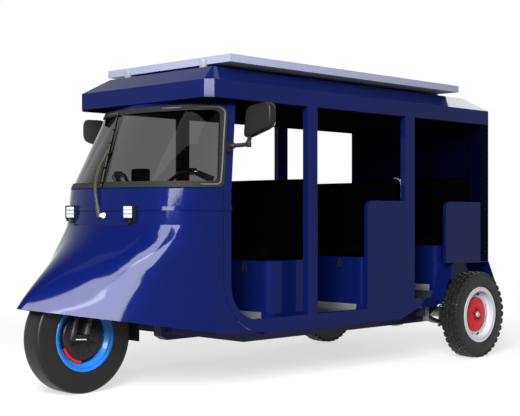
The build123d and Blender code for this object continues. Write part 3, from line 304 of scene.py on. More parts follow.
# ways of working
weldDistance = 0.00002


def choose(piece):
    deselectAll()
    piece.select_set(True)
    bpy.context.view_layer.objects.active = piece


def applyPlace(piece):
    choose(piece)
    bpy.ops.object.transform_apply(location=True, rotation=True, scale=True)


def editAll(piece):
    choose(piece)
    bpy.ops.object.mode_set(mode="EDIT")
    bpy.ops.mesh.select_all(action="SELECT")


def joinAll(name, parts):
    deselectAll()
    for part in parts:
        part.select_set(True)
    bpy.context.view_layer.objects.active = parts[0]
    if len(parts) > 1:
        bpy.ops.object.join()
    parts[0].name = name
    return parts[0]


def dress(piece, finish, body, stands=(), smooth=35):
    # finish, smooth shading, the CAD nodes it stands for, and the body it rides on
    choose(piece)
    piece.data.materials.clear()
    piece.data.materials.append(finish)
    if smooth:
        bpy.ops.object.shade_smooth_by_angle(angle=math.radians(smooth))
    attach(piece, body)
    if stands:
        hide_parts(*stands)
    return piece


def startPoint(name, point):
    # a mesh of one point, ready to extrude
    deselectAll()
    bpy.ops.mesh.primitive_plane_add(size=0.01, location=(0, 0, 0))
    piece = bpy.context.object
    piece.name = name
    bpy.ops.object.mode_set(mode="EDIT")
    bpy.ops.mesh.select_all(action="SELECT")
    bpy.ops.mesh.merge(type="CENTER")
    bpy.ops.transform.translate(value=point)
    return piece


def outlineOf(name, points):
    # a closed line of edges through the points, left selected in edit mode
    piece = startPoint(name, points[0])
    for start, end in zip(points, points[1:] + points[:1]):
        bpy.ops.mesh.extrude_region_move(TRANSFORM_OT_translate={"value": end - start})
    bpy.ops.mesh.select_all(action="SELECT")
    bpy.ops.mesh.remove_doubles(threshold=weldDistance)
    bpy.ops.mesh.select_all(action="SELECT")
    return piece


def wheelPoints(centre, profile):
    return [Vector((centre[0] + x, centre[1], centre[2] + radius)) for x, radius in profile]


def lathe(name, profile, centre, steps=72):
    # a closed profile of (x, radius) points spun about the axle through centre
    piece = outlineOf(name, wheelPoints(centre, profile))
    bpy.ops.mesh.spin(steps=steps, angle=2 * math.pi, center=centre, axis=(1, 0, 0))
    bpy.ops.mesh.select_all(action="SELECT")
    bpy.ops.mesh.remove_doubles(threshold=weldDistance)
    bpy.ops.mesh.normals_make_consistent(inside=False)
    bpy.ops.object.mode_set(mode="OBJECT")
    return piece


def copyRound(piece, centre, count, offset=0.0):
    # copies of the whole mesh round an axle
    editAll(piece)
    if offset:
        bpy.ops.transform.rotate(value=-math.radians(offset), orient_axis="X", center_override=centre)
    bpy.ops.mesh.spin(steps=count, dupli=True, angle=2 * math.pi, center=centre, axis=(1, 0, 0))
    bpy.ops.mesh.select_all(action="SELECT")
    bpy.ops.mesh.remove_doubles(threshold=weldDistance)
    bpy.ops.object.mode_set(mode="OBJECT")


def bevelledBox(name, low, high, bevel, segments=2):
    deselectAll()
    centre = [(a + b) / 2 for a, b in zip(low, high)]
    bpy.ops.mesh.primitive_cube_add(size=1, location=centre, scale=[b - a for a, b in zip(low, high)])
    piece = bpy.context.object
    piece.name = name
    applyPlace(piece)
    editAll(piece)
    bpy.ops.mesh.bevel(offset=bevel, segments=segments, affect="EDGES", clamp_overlap=True)
    bpy.ops.object.mode_set(mode="OBJECT")
    return piece


def drum(name, start, end, radius, bevel, sides=32, topRadius=None):
    # a round or many-sided stub with softened rims
    start, end = Vector(start), Vector(end)
    deselectAll()
    turn = (end - start).to_track_quat("Z", "Y").to_euler()
    bpy.ops.mesh.primitive_cone_add(
        vertices=sides,
        radius1=radius,
        radius2=radius if topRadius is None else topRadius,
        depth=(end - start).length,
        location=(start + end) / 2,
        rotation=turn,
    )
    piece = bpy.context.object
    piece.name = name
    applyPlace(piece)
    editAll(piece)
    bpy.ops.mesh.select_all(action="DESELECT")
    bpy.ops.mesh.select_mode(type="EDGE")
    bpy.ops.mesh.edges_select_sharp(sharpness=math.radians(50))
    if bevel:
        bpy.ops.mesh.bevel(offset=bevel, segments=2, affect="EDGES", clamp_overlap=True)
    bpy.ops.mesh.select_mode(type="VERT")
    bpy.ops.object.mode_set(mode="OBJECT")
    return piece


def tube(name, points, radius, closed=False, sides=3):
    # a round line through points, made a mesh
    deselectAll()
    bpy.ops.curve.primitive_nurbs_path_add()
    piece = bpy.context.object
    piece.name = name
    curve = piece.data
    curve.splines.clear()
    spline = curve.splines.new("NURBS")
    spline.points.add(len(points) - 1)
    for knot, point in zip(spline.points, points):
        knot.co = (*point, 1)
    spline.order_u = 3
    spline.use_endpoint_u = not closed
    spline.use_cyclic_u = closed
    spline.resolution_u = 4
    curve.dimensions = "3D"
    curve.bevel_depth = radius
    curve.bevel_resolution = sides
    curve.use_fill_caps = not closed
    bpy.ops.object.convert(target="MESH")
    piece = bpy.context.object
    editAll(piece)
    bpy.ops.mesh.remove_doubles(threshold=weldDistance)
    bpy.ops.mesh.normals_make_consistent(inside=False)
    bpy.ops.object.mode_set(mode="OBJECT")
    piece.name = name
    return piece


def rowY(behind):
    # the row frame's Y of a distance behind the front axle
    return behind - 1.51


def spot(x, behind, z):
    return Vector((x, rowY(behind), z))


def mirrored(profile):
    # a half profile's other half, gone through backwards
    return [(-x, radius) for x, radius in reversed(profile)]


def faceAt(y, x0, x1, z0, z1):
    # four corners of an upright face across the vehicle
    return [(x0, y, z0), (x1, y, z0), (x1, y, z1), (x0, y, z1)]


# front wheel: smooth road tyre, deep blue rim, brake drum and its arm
frontWheel = {
    "centre": (0.0, -1.51, 0.322),
    "tyre": [
        (0.066, 0.1765), (0.066, 0.2), (0.07, 0.2015), (0.0715, 0.203), (0.073, 0.215), (0.0722, 0.235),
        (0.073, 0.262), (0.073, 0.286), (0.0728, 0.302), (0.071, 0.311), (0.0665, 0.317),
        (0.059, 0.3202), (0.04, 0.3215), (0.015, 0.322),
    ],
    "rim": [
        (0.071, 0.1985), (0.0728, 0.196), (0.0728, 0.1925), (0.069, 0.19), (0.066, 0.178), (0.06, 0.174),
        (0.052, 0.16), (0.046, 0.156), (0.012, 0.154), (0.008, 0.15), (0.0045, 0.139),
    ],
    "rimThick": 0.003,
    "drum": [
        (0.0, 0.135), (0.046, 0.135), (0.05, 0.131), (0.052, 0.118), (0.056, 0.112), (0.058, 0.06),
        (0.064, 0.054), (0.066, 0.0), (0.066, 0.0125),
    ],
    "arc": [(0.0475, 0.1352), (0.0475, 0.15), (0.0515, 0.15), (0.0515, 0.1352)],
    "arcTurn": (186, 246),
}
centre = frontWheel["centre"]
outer = frontWheel["tyre"]
piece = lathe("frontTyre", outer + mirrored(outer), centre, 96)
dress(piece, tyreRubber, "front_wheel", ("tyre_front",))

rim = frontWheel["rim"]
thick = frontWheel["rimThick"]
inner = [(x - 0.0015 if x > 0.05 else x, radius - thick) for x, radius in reversed(rim)]
piece = lathe("frontRim", rim + mirrored(rim) + mirrored(inner) + inner, centre, 96)
dress(piece, rimBlue, "front_wheel", ("rim_front",))

half = frontWheel["drum"]
parts = [lathe("drum", half + mirrored(half), centre)]
for side in (-1, 1):
    ribLow = (side * 0.056 - 0.004, centre[1] - 0.003, centre[2] + 0.062)
    ribHigh = (side * 0.056 + 0.004, centre[1] + 0.003, centre[2] + 0.11)
    ribs = bevelledBox("rib", ribLow, ribHigh, 0.0015)
    copyRound(ribs, centre, 12)
    nutAt = (centre[1], centre[2] + 0.122)
    nut = drum("nut", (side * 0.0555, *nutAt), (side * 0.0485, *nutAt), 0.006, 0.0008, 6)
    copyRound(nut, centre, 6, 15)
    parts += [ribs, nut]
dress(joinAll("frontBrakeDrum", parts), blackMetal, "front_wheel", ("hub_front",))

# red arc on the drum's lower front edge
def arcBand(name, profile, centre, fromAngle, toAngle, steps=16):
    # part of a ring, angles turning from the top towards the front
    band = outlineOf(name, wheelPoints(centre, profile))
    bpy.ops.mesh.edge_face_add()
    bpy.ops.mesh.spin(steps=1, angle=math.radians(fromAngle), center=centre, axis=(1, 0, 0))
    bpy.ops.mesh.duplicate()
    bpy.ops.mesh.select_all(action="INVERT")
    bpy.ops.mesh.delete(type="VERT")
    bpy.ops.mesh.select_all(action="SELECT")
    bpy.ops.mesh.spin(steps=steps, angle=math.radians(toAngle - fromAngle), center=centre, axis=(1, 0, 0))
    bpy.ops.mesh.select_all(action="SELECT")
    bpy.ops.mesh.remove_doubles(threshold=weldDistance)
    bpy.ops.mesh.normals_make_consistent(inside=False)
    bpy.ops.object.mode_set(mode="OBJECT")
    return band


dress(arcBand("frontRedArc", frontWheel["arc"], centre, *frontWheel["arcTurn"]), hubRed, "front_wheel")
print("front wheel made")


def plate(name, points, depth, bevel=0.0, segments=2, sharp=40):
    # a flat outline made solid along depth, with softened edges
    piece = outlineOf(name, [Vector(point) for point in points])
    bpy.ops.mesh.edge_face_add()
    bpy.ops.mesh.extrude_region_move(TRANSFORM_OT_translate={"value": Vector(depth)})
    bpy.ops.mesh.select_all(action="SELECT")
    bpy.ops.mesh.normals_make_consistent(inside=False)
    if bevel:
        bpy.ops.mesh.select_all(action="DESELECT")
        bpy.ops.mesh.select_mode(type="EDGE")
        bpy.ops.mesh.edges_select_sharp(sharpness=math.radians(sharp))
        bpy.ops.mesh.bevel(offset=bevel, segments=segments, affect="EDGES", clamp_overlap=True)
        bpy.ops.mesh.select_mode(type="VERT")
    bpy.ops.object.mode_set(mode="OBJECT")
    return piece


def roundedOutline(corners, radius, steps=4):
    # corners in a plane, each turned into a short arc
    found = []
    count = len(corners)
    for index in range(count):
        here = Vector(corners[index])
        before = (Vector(corners[index - 1]) - here).normalized()
        after = (Vector(corners[(index + 1) % count]) - here).normalized()
        for step in range(steps + 1):
            share = step / steps
            first, last = here + before * radius, here + after * radius
            found.append((1 - share) ** 2 * first + 2 * share * (1 - share) * here + share**2 * last)
    return found


# rear wheels: block tread, pale steel rims, red domed centres
rearWheel = {
    "left": (0.696, 1.41, 0.304),
    "right": (-0.696, 1.41, 0.304),
    "carcass": [
        (0.054, 0.1765), (0.054, 0.1935), (0.06, 0.2), (0.061, 0.215), (0.0605, 0.245), (0.06, 0.27),
        (0.0545, 0.288), (0.04, 0.296), (0.018, 0.2985),
    ],
    "blocks": 36,
    # each row's place across, turn, and the height of its blocks
    "rows": [(0.0155, 0.0, 0.3034), (0.046, 5.0, 0.3012)],
    "dome": [
        (0.0176, 0.122), (0.02, 0.1225), (0.0235, 0.12), (0.0262, 0.112), (0.029, 0.095), (0.0325, 0.07),
        (0.0345, 0.058), (0.034, 0.052), (0.0285, 0.047), (0.028, 0.024), (0.04, 0.0225),
        (0.04, 0.0206), (0.011, 0.0206), (0.011, 0.046), (0.0176, 0.046),
    ],
    "lip": [
        (0.0545, 0.188), (0.0545, 0.1925), (0.0575, 0.1955), (0.061, 0.195), (0.062, 0.1925),
        (0.0605, 0.1885), (0.06, 0.178), (0.056, 0.172), (0.0545, 0.172),
    ],
    "rings": [
        [(0.0172, 0.127), (0.0172, 0.131), (0.0195, 0.134), (0.0205, 0.1305), (0.019, 0.1265)],
        [(0.0172, 0.16), (0.0172, 0.1655), (0.026, 0.1655), (0.023, 0.1625)],
    ],
    # count, ring, radius, depth from and to, sides, turn
    "studs": [(6, 0.0945, 0.0058, 0.027, 0.0295, 16, 30.0), (5, 0.0355, 0.0085, 0.027, 0.037, 6, 0.0)],
    "cap": [(0.0402, 0.0002), (0.0402, 0.0215), (0.044, 0.021), (0.049, 0.0165), (0.051, 0.0002)],
    "brakePlate": [(-0.0235, 0.121), (-0.0235, 0.158), (-0.0205, 0.158), (-0.0205, 0.121)],
}


def outward(out, profile):
    # a profile of the left wheel, for the side that out names
    return [(out * x, radius) for x, radius in profile]


for sideName, out in (("left", 1), ("right", -1)):
    centre = rearWheel[sideName]
    body = f"rear_wheel_{sideName}"
    skin = rearWheel["carcass"]
    parts = [lathe("carcass", skin + mirrored(skin), centre, 80)]
    for x, turn, top in rearWheel["rows"]:
        for sign in (-1, 1):
            at = (centre[0] + sign * x, centre[1])
            block = drum("block", (*at, centre[2] + 0.284), (*at, centre[2] + top), 0.0168, 0.001, 6, 0.0158)
            editAll(block)
            bpy.ops.transform.resize(value=(0.985, 1.54, 1), center_override=(*at, centre[2] + 0.29))
            bpy.ops.object.mode_set(mode="OBJECT")
            copyRound(block, centre, rearWheel["blocks"], turn + (2.5 if sign > 0 else 0.0))
            parts.append(block)
    dress(joinAll(f"rearTyre_{sideName}", parts), tyreRubber, body, (f"tyre_rear_{sideName}",), 40)

    parts = [lathe("lip", outward(out * sign, rearWheel["lip"]), centre, 80) for sign in (-1, 1)]
    parts += [lathe("ring", outward(out, ring), centre, 80) for ring in rearWheel["rings"]]
    dress(joinAll(f"rearRimLips_{sideName}", parts), rimGrey, body)

    piece = lathe(f"rearHub_{sideName}", outward(out, rearWheel["dome"]), centre)
    dress(piece, hubRed, body, (f"hub_rear_{sideName}",))
    parts = []
    for count, ring, radius, low, high, sides, turn in rearWheel["studs"]:
        at = (centre[1], centre[2] + ring)
        stud = drum("stud", (centre[0] + out * low, *at), (centre[0] + out * high, *at), radius, 0.0008, sides)
        copyRound(stud, centre, count, turn)
        parts.append(stud)
    dress(joinAll(f"rearNuts_{sideName}", parts), blackMetal, body)
    piece = lathe(f"rearCap_{sideName}", outward(out, rearWheel["cap"]), centre, 40)
    dress(piece, castMetal, body)
print("rear wheels made")

# the screen's wrapped form, to lay trim on it: rows as in the cab's plan
screenForm = {
    # z, front, radius, flank turn, flank x, half width, end
    "low": (1.156, 0.15, 0.986, 18.3, 0.31, 0.61, 0.585),
    "high": (1.67, 0.455, 0.95, 14.0, 0.35, 0.54, 0.68),
    "rearLow": 0.562,
    "rearHigh": 0.662,
}


def rowSpot(row, s):
    # a point on one row: s from 0 to 1 on the front arc, to 2 on the flank, to 3 on the side arc
    z, front, radius, turn, flankX, halfWidth, end = row
    turn = math.radians(turn)
    noseX, noseY = radius * math.sin(turn), front + radius * (1 - math.cos(turn))
    flankY = noseY + (flankX - noseX) * math.tan(turn)
    if s <= 1:
        return Vector((radius * math.sin(turn * s), front + radius * (1 - math.cos(turn * s))))
    if s <= 2:
        return Vector((noseX, noseY)).lerp(Vector((flankX, flankY)), s - 1)
    # arc leaving the flank in its direction and ending at the side
    start, chord = Vector((flankX, flankY)), Vector((halfWidth - flankX, end - flankY))
    along = Vector((math.cos(turn), math.sin(turn)))
    normal = Vector((-along.y, along.x))
    bend = chord.length_squared / (2 * chord.dot(normal))
    heart = start + normal * bend
    angle = 2 * math.atan2(chord.dot(normal), chord.dot(along))
    swing = angle * (s - 2)
    return heart - normal * bend * math.cos(swing) + along * bend * math.sin(swing)


def formSpot(low, high, z, s, out=0.0, side=1):
    share = (z - low[0]) / (high[0] - low[0])
    here = rowSpot(low, s).lerp(rowSpot(high, s), share)
    last, first = min(s + 0.02, 3.0), max(s - 0.02, 0.0)
    after = rowSpot(low, last).lerp(rowSpot(high, last), share) if s < 2.98 else here
    before = rowSpot(low, first).lerp(rowSpot(high, first), share)
    run = (after - before).normalized()
    here = here + Vector((run.y, -run.x)) * out
    return spot(side * here.x, here.y, z)


def screenAt(z, behind, out=0.0, side=1):
    # the point of the screen at a height and a distance behind the front axle
    low, high = 0.0, 3.0
    for step in range(28):
        middle = (low + high) / 2
        share = (z - screenForm["low"][0]) / (screenForm["high"][0] - screenForm["low"][0])
        here = rowSpot(screenForm["low"], middle).lerp(rowSpot(screenForm["high"], middle), share)
        low, high = (middle, high) if here.y < behind else (low, middle)
    return formSpot(screenForm["low"], screenForm["high"], z, low, out, side)


def screenLoop(inset, out):
    # a closed line round the screen, inset from the opening's edge
    lowZ, highZ = 1.164 + inset, 1.644 - inset
    lean = (screenForm["rearHigh"] - screenForm["rearLow"]) / 0.514

    def rearAt(z):
        return screenForm["rearLow"] + lean * (z - 1.156) - inset

    corner = max(0.05 - inset, 0.03)
    half = []
    for share in (0.0, 0.3, 0.6, 0.85):
        front = formSpot(screenForm["low"], screenForm["high"], lowZ, 0).y + 1.51
        half.append((lowZ, front + (rearAt(lowZ) - corner - front) * share**1.6))
    for step in range(5):
        angle = math.pi / 2 * step / 4
        half.append((lowZ + corner * (1 - math.cos(angle)), rearAt(lowZ) - corner * (1 - math.sin(angle))))
    for share in (0.3, 0.6):
        z = lowZ + corner + (highZ - lowZ - 2 * corner) * share
        half.append((z, rearAt(z)))
    for step in range(5):
        angle = math.pi / 2 * step / 4
        half.append((highZ - corner * (1 - math.sin(angle)), rearAt(highZ) - corner * (1 - math.cos(angle))))
    for share in (0.85, 0.6, 0.3, 0.0):
        front = formSpot(screenForm["low"], screenForm["high"], highZ, 0).y + 1.51
        half.append((highZ, front + (rearAt(highZ) - corner - front) * share**1.6))
    near = [screenAt(z, behind, out, 1) for z, behind in half]
    far = [screenAt(z, behind, out, -1) for z, behind in reversed(half[1:-1])]
    return near + far


piece = tube("screenLockStrip", screenLoop(0.0165, 0.0062), 0.0042, closed=True, sides=2)
lockStrip = finishOf("lockStrip", (0.085, 0.085, 0.088), roughness=0.42, relief=(300, 0.1))
dress(piece, lockStrip, "body")
print("screen trim made")

# lamps on the cowl: finned housing, a bezel and nine cells
lampSet = {"x": 0.271, "front": 0.138, "width": 0.09, "low": 0.985, "high": 1.064, "depth": 0.044, "cells": 3}
lampCell = finishOf("lampCell", (0.38, 0.42, 0.52), roughness=0.2, coat=1.0, relief=(900, 0.5))
for sideName, sign in (("left", 1), ("right", -1)):
    x, half = sign * lampSet["x"], lampSet["width"] / 2
    front, low, high = rowY(lampSet["front"]), lampSet["low"], lampSet["high"]
    parts = [bevelledBox("case", (x - half, front + 0.006, low), (x + half, front + 0.03, high), 0.003)]
    rim = 0.005
    for x0, x1, z0, z1 in (
        (x - half, x + half, low, low + rim),
        (x - half, x + half, high - rim, high),
        (x - half, x - half + rim, low, high),
        (x + half - rim, x + half, low, high),
    ):
        parts.append(bevelledBox("bezel", (x0, front, z0), (x1, front + 0.009, z1), 0.0015))
    for fin in range(6):
        finX = x - half + 0.008 + fin * (lampSet["width"] - 0.016 - 0.003) / 5
        finHigh = (finX + 0.003, front + lampSet["depth"], high - 0.006)
        parts.append(bevelledBox("fin", (finX, front + 0.028, low + 0.006), finHigh, 0.001))
    parts.append(drum("foot", (x, front + 0.02, low - 0.02), (x, front + 0.02, low + 0.002), 0.01, 0.001, 16))
    shoeLow, shoeHigh = (x - 0.014, front + 0.006, low - 0.024), (x + 0.014, front + 0.06, low - 0.018)
    parts.append(bevelledBox("shoe", shoeLow, shoeHigh, 0.0015))
    for ear in (-1, 1):
        earX = x + ear * half
        earLow, earHigh = (earX - 0.0035, front + 0.01, low - 0.014), (earX + 0.0035, front + 0.024, low + 0.045)
        parts.append(bevelledBox("ear", earLow, earHigh, 0.001))
        at = (front + 0.017, low + 0.036)
        parts.append(drum("screw", (earX + ear * 0.003, *at), (earX + ear * 0.0085, *at), 0.0065, 0.001, 6))
    yokeLow, yokeHigh = (x - half, front + 0.01, low - 0.014), (x + half, front + 0.024, low - 0.01)
    parts.append(bevelledBox("yoke", yokeLow, yokeHigh, 0.001))
    dress(joinAll(f"lampHousing_{sideName}", parts), blackPlastic, "body", ("work_lamps",))
    parts = []
    count = lampSet["cells"]
    pitchX = (lampSet["width"] - 2 * rim - 0.002) / count
    pitchZ = (high - low - 2 * rim - 0.002) / count
    for column in range(count):
        for rowIndex in range(count):
            cellX, cellZ = x - half + rim + 0.002 + column * pitchX, low + rim + 0.002 + rowIndex * pitchZ
            cellHigh = (cellX + pitchX - 0.0025, front + 0.008, cellZ + pitchZ - 0.0025)
            parts.append(bevelledBox("cell", (cellX, front + 0.0025, cellZ), cellHigh, 0.002))
    dress(joinAll(f"lampCells_{sideName}", parts), lampCell, "body")
print("lamps made")

# wiper: tapered arm over a cap nut, blade with its spine and claws
wiperSet = {
    "arm": [
        (0.036, 0.122, 1.002), (0.018, 0.124, 1.06), (-0.02, 0.132, 1.163), (-0.062, 0.184, 1.245),
        (-0.095, 0.235, 1.315), (-0.076, 0.281, 1.394),
    ],
    "head": [(0.042, 0.122, 0.992), (0.036, 0.122, 1.004), (0.016, 0.124, 1.062)],
    "bladeLow": (0.033, 0.142, 1.172),
    "bladeHigh": (-0.172, 0.424, 1.62),
    "claws": (0.04, 0.24, 0.42, 0.58, 0.76, 0.96),
    # the cap nut's place across and its height
    "nut": (0.068, 1.004),
}
low, high = spot(*wiperSet["bladeLow"]), spot(*wiperSet["bladeHigh"])
parts = [tube("arm", [spot(*point) for point in wiperSet["arm"]], 0.0095)]
parts.append(tube("armHead", [spot(*point) for point in wiperSet["head"]], 0.0135))
lifts = ((0, 0.004), (0.5, 0.011), (1, 0.004))
parts.append(tube("spine", [low.lerp(high, share) - Vector((0, lift, 0)) for share, lift in lifts], 0.0045))
dress(joinAll("wiperArm", parts), wiperPaint, "body", ("wiper",))
parts = [tube("rubber", [low.lerp(high, share) + Vector((0, 0.003, 0)) for share in (0, 0.25, 0.5, 0.75, 1)], 0.0045)]
for share in wiperSet["claws"]:
    at = low.lerp(high, share)
    parts.append(drum("claw", at + Vector((-0.006, -0.006, 0)), at + Vector((0.006, -0.006, 0)), 0.0072, 0.001, 8))
dress(joinAll("wiperBlade", parts), blackTrim, "body")
x, z = wiperSet["nut"]
parts = [drum("base", spot(x, 0.15, z), spot(x, 0.122, z), 0.016, 0.002, 24)]
parts.append(drum("cap", spot(x, 0.123, z), spot(x, 0.108, z), 0.012, 0.003, 6))
piece = joinAll("wiperNut", parts)
whiteCap = finishOf("whiteCap", (0.75, 0.76, 0.78), roughness=0.3, relief=(200, 0.1))
dress(piece, whiteCap, "body")
print("wiper made")

# mirrors: bracket at the post, arm, stalk and a bevelled head with its glass towards the driver
mirrorSet = {
    "root": (0.59, 0.624, 1.402),
    "elbow": (0.69, 0.68, 1.404),
    "bracket": [(0.59, 0.6, 1.364), (0.59, 0.646, 1.364), (0.59, 0.646, 1.426), (0.59, 0.6, 1.426)],
    "head": [(0.647, 1.437), (0.868, 1.5), (0.866, 1.643), (0.672, 1.626)],
    "place": 0.7,
    "stalkTop": 1.48,
    "depth": 0.06,
    "bolts": (1.374, 1.417),
}


def sided(sign, point):
    # a point of the left side, for the side that sign names
    return spot(sign * point[0], point[1], point[2])


mirrorGlass = finishOf("mirrorGlass", (0.75, 0.77, 0.8), metallic=1.0, roughness=0.04, relief=(20, 0.01))
for sideName, sign in (("left", 1), ("right", -1)):
    root, elbow = sided(sign, mirrorSet["root"]), sided(sign, mirrorSet["elbow"])
    front = rowY(mirrorSet["place"] - mirrorSet["depth"] / 2)
    corners = [(sign * x, front, z) for x, z in mirrorSet["head"]]
    shell = plate("shell", roundedOutline(corners, 0.05), (0, mirrorSet["depth"] - 0.006, 0), 0.012, 3, 60)
    stalkTop = sided(sign, (mirrorSet["elbow"][0], mirrorSet["place"], mirrorSet["stalkTop"]))
    arm = tube("arm", [root, root.lerp(elbow, 0.8), elbow + Vector((0, 0, 0.012)), stalkTop], 0.0125)
    foot = [sided(sign, point) for point in mirrorSet["bracket"]]
    bracket = plate("bracket", roundedOutline(foot, 0.012), (sign * 0.012, 0, 0), 0.002)
    collar = drum("collar", root, root.lerp(elbow, 0.28), 0.017, 0.003, 20)
    up = Vector((0, 0, 1))
    knuckle = drum("knuckle", elbow - up * 0.012, elbow + up * 0.02, 0.015, 0.003, 20)
    socket = drum("socket", stalkTop - up * 0.03, stalkTop, 0.016, 0.002, 20)
    parts = [shell, arm, bracket, collar, knuckle, socket]
    for z in mirrorSet["bolts"]:
        parts.append(drum("bolt", sided(sign, (0.6, 0.622, z)), sided(sign, (0.608, 0.622, z)), 0.006, 0.001, 6))
    dress(joinAll(f"mirror_{sideName}", parts), blackPlastic, "body", ("mirrors",))
    middleX, middleZ = (sum(corner[axis] for corner in corners) / 4 for axis in (0, 2))
    glassY = rowY(mirrorSet["place"] + 0.022)
    inner = [(middleX + (x - middleX) * 0.9, glassY, middleZ + (z - middleZ) * 0.88) for x, _, z in corners]
    piece = plate(f"mirrorGlass_{sideName}", roundedOutline(inner, 0.028), (0, 0.004, 0), 0.001, 1, 60)
    dress(piece, mirrorGlass, "body")
print("mirrors made")

# handlebar: grips, switch blocks, brake levers; pod with a blank dial
barSet = {
    "bend": (0.36, 0.56, 1.262),
    "end": (0.44, 0.64, 1.215),
    "switchX": 0.345,
    # each lever point: share from bend to end, then its shift out, back and up
    "lever": [
        (0, -0.01, -0.024, -0.006), (0, 0.012, -0.03, -0.008),
        (0.7, 0, -0.028, -0.012), (0.9, 0.002, -0.02, -0.016),
    ],
}
parts, rubberParts = [], []
for sign in (-1, 1):
    bend, end = sided(sign, barSet["bend"]), sided(sign, barSet["end"])
    run = (end - bend).normalized()
    rubberParts.append(drum("grip", bend.lerp(end, 0.18), end, 0.0155, 0.003, 24))
    for ridge in range(7):
        at = bend.lerp(end, 0.26 + ridge * 0.09)
        rubberParts.append(drum("ridge", at, at + run * 0.005, 0.0165, 0.001, 24))
    rubberParts.append(drum("stop", end - run * 0.01, end - run * 0.003, 0.017, 0.002, 24))
    switchX = sign * barSet["switchX"]
    for kind, half, y0, y1, z0, z1, bevel, segments in (
        ("switch", 0.024, 0.541, 0.58, 1.24, 1.28, 0.007, 3),
        ("button", 0.008, 0.578, 0.588, 1.252, 1.268, 0.003, 2),
    ):
        boxLow, boxHigh = (switchX - half, rowY(y0), z0), (switchX + half, rowY(y1), z1)
        rubberParts.append(bevelledBox(kind, boxLow, boxHigh, bevel, segments))
    line = [bend.lerp(end, share) + Vector((sign * x, y, z)) for share, x, y, z in barSet["lever"]]
    parts.append(tube("lever", line, 0.0055))
dress(joinAll("gripsAndSwitches", rubberParts), blackPlastic, "steering")
dress(joinAll("brakeLevers", parts), chromeTube, "steering")
podSet = {
    # kind: front, half width, low, high, corner, depth, bevel, segments
    "podShell": (0.43, 0.058, 1.194, 1.283, 0.018, 0.054, 0.006, 3),
    "podFrame": (0.483, 0.052, 1.2, 1.277, 0.014, 0.004, 0.001, 1),
    "podDial": (0.487, 0.044, 1.228, 1.27, 0.006, 0.0015, 0.0004, 1),
}


def podPlate(kind):
    behind, half, low, high, corner, depth, bevel, segments = podSet[kind]
    ring = roundedOutline(faceAt(rowY(behind), -half, half, low, high), corner)
    return plate(kind, ring, (0, depth, 0), bevel, segments, 60)


parts = [podPlate("podShell"), podPlate("podFrame")]
for kind, x, back, radius in (("knob", 0.03, 0.496, 0.007), ("keyRing", -0.03, 0.492, 0.009)):
    parts.append(drum(kind, (x, rowY(0.486), 1.214), (x, rowY(back), 1.214), radius, 0.0015, 20))
dress(joinAll("instrumentPod", parts), blackPlastic, "steering", ("instrument_pod",))
dialFace = finishOf("dialFace", (0.05, 0.06, 0.065), roughness=0.12, coat=1.0, relief=(100, 0.02))
piece = podPlate("podDial")
dress(piece, dialFace, "steering")
print("handlebar made")

# seats: padded cushions and backrests, swelled as cloth and sewn in three places
padSet = {
    "voxel": 0.006,
    "pressure": 4.0,
    "frames": 20,
    "cap": 0.012,
    "inset": 0.007,
    # kind: the axis it is thin along, bevel, fill
    "kinds": {"cushion": (2, 0.03, 0.75), "backrest": (1, 0.024, 0.65)},
    "seams": (-0.1667, 0.1667),
    "seamDeep": 0.006,
    "seamWide": 0.0065,
    "pipingIn": 0.012,
}


def swell(piece):
    # voxel skin, blown up as cloth, held near where it was
    bpy.ops.object.modifier_add(type="REMESH")
    remesh = piece.modifiers[-1]
    remesh.mode = "VOXEL"
    remesh.voxel_size = padSet["voxel"]
    bpy.ops.object.modifier_apply(modifier=remesh.name)
    before = [vertex.co.copy() for vertex in piece.data.vertices]
    bpy.ops.object.modifier_add(type="CLOTH")
    cloth = piece.modifiers[-1]
    cloth.settings.quality = 3
    cloth.settings.use_pressure = True
    cloth.settings.uniform_pressure_force = padSet["pressure"]
    cloth.settings.effector_weights.gravity = 0.0
    cloth.point_cache.frame_end = padSet["frames"]
    for frameNumber in range(1, padSet["frames"] + 1):
        scene.frame_set(frameNumber)
    bpy.ops.object.modifier_apply(modifier=cloth.name)
    scene.frame_set(1)
    for vertex, start in zip(piece.data.vertices, before):
        move = vertex.co - start
        if move.length > padSet["cap"]:
            vertex.co = start + move.normalized() * padSet["cap"]


def sewSeams(piece, axis, low, high):
    # seams across the pad, drawn in towards its middle
    middle = (low[axis] + high[axis]) / 2
    for vertex in piece.data.vertices:
        near = min(abs(vertex.co.x - line) for line in padSet["seams"])
        if near < 0.03:
            pull = padSet["seamDeep"] * math.exp(-((near / padSet["seamWide"]) ** 2))
            vertex.co[axis] += pull if vertex.co[axis] < middle else -pull


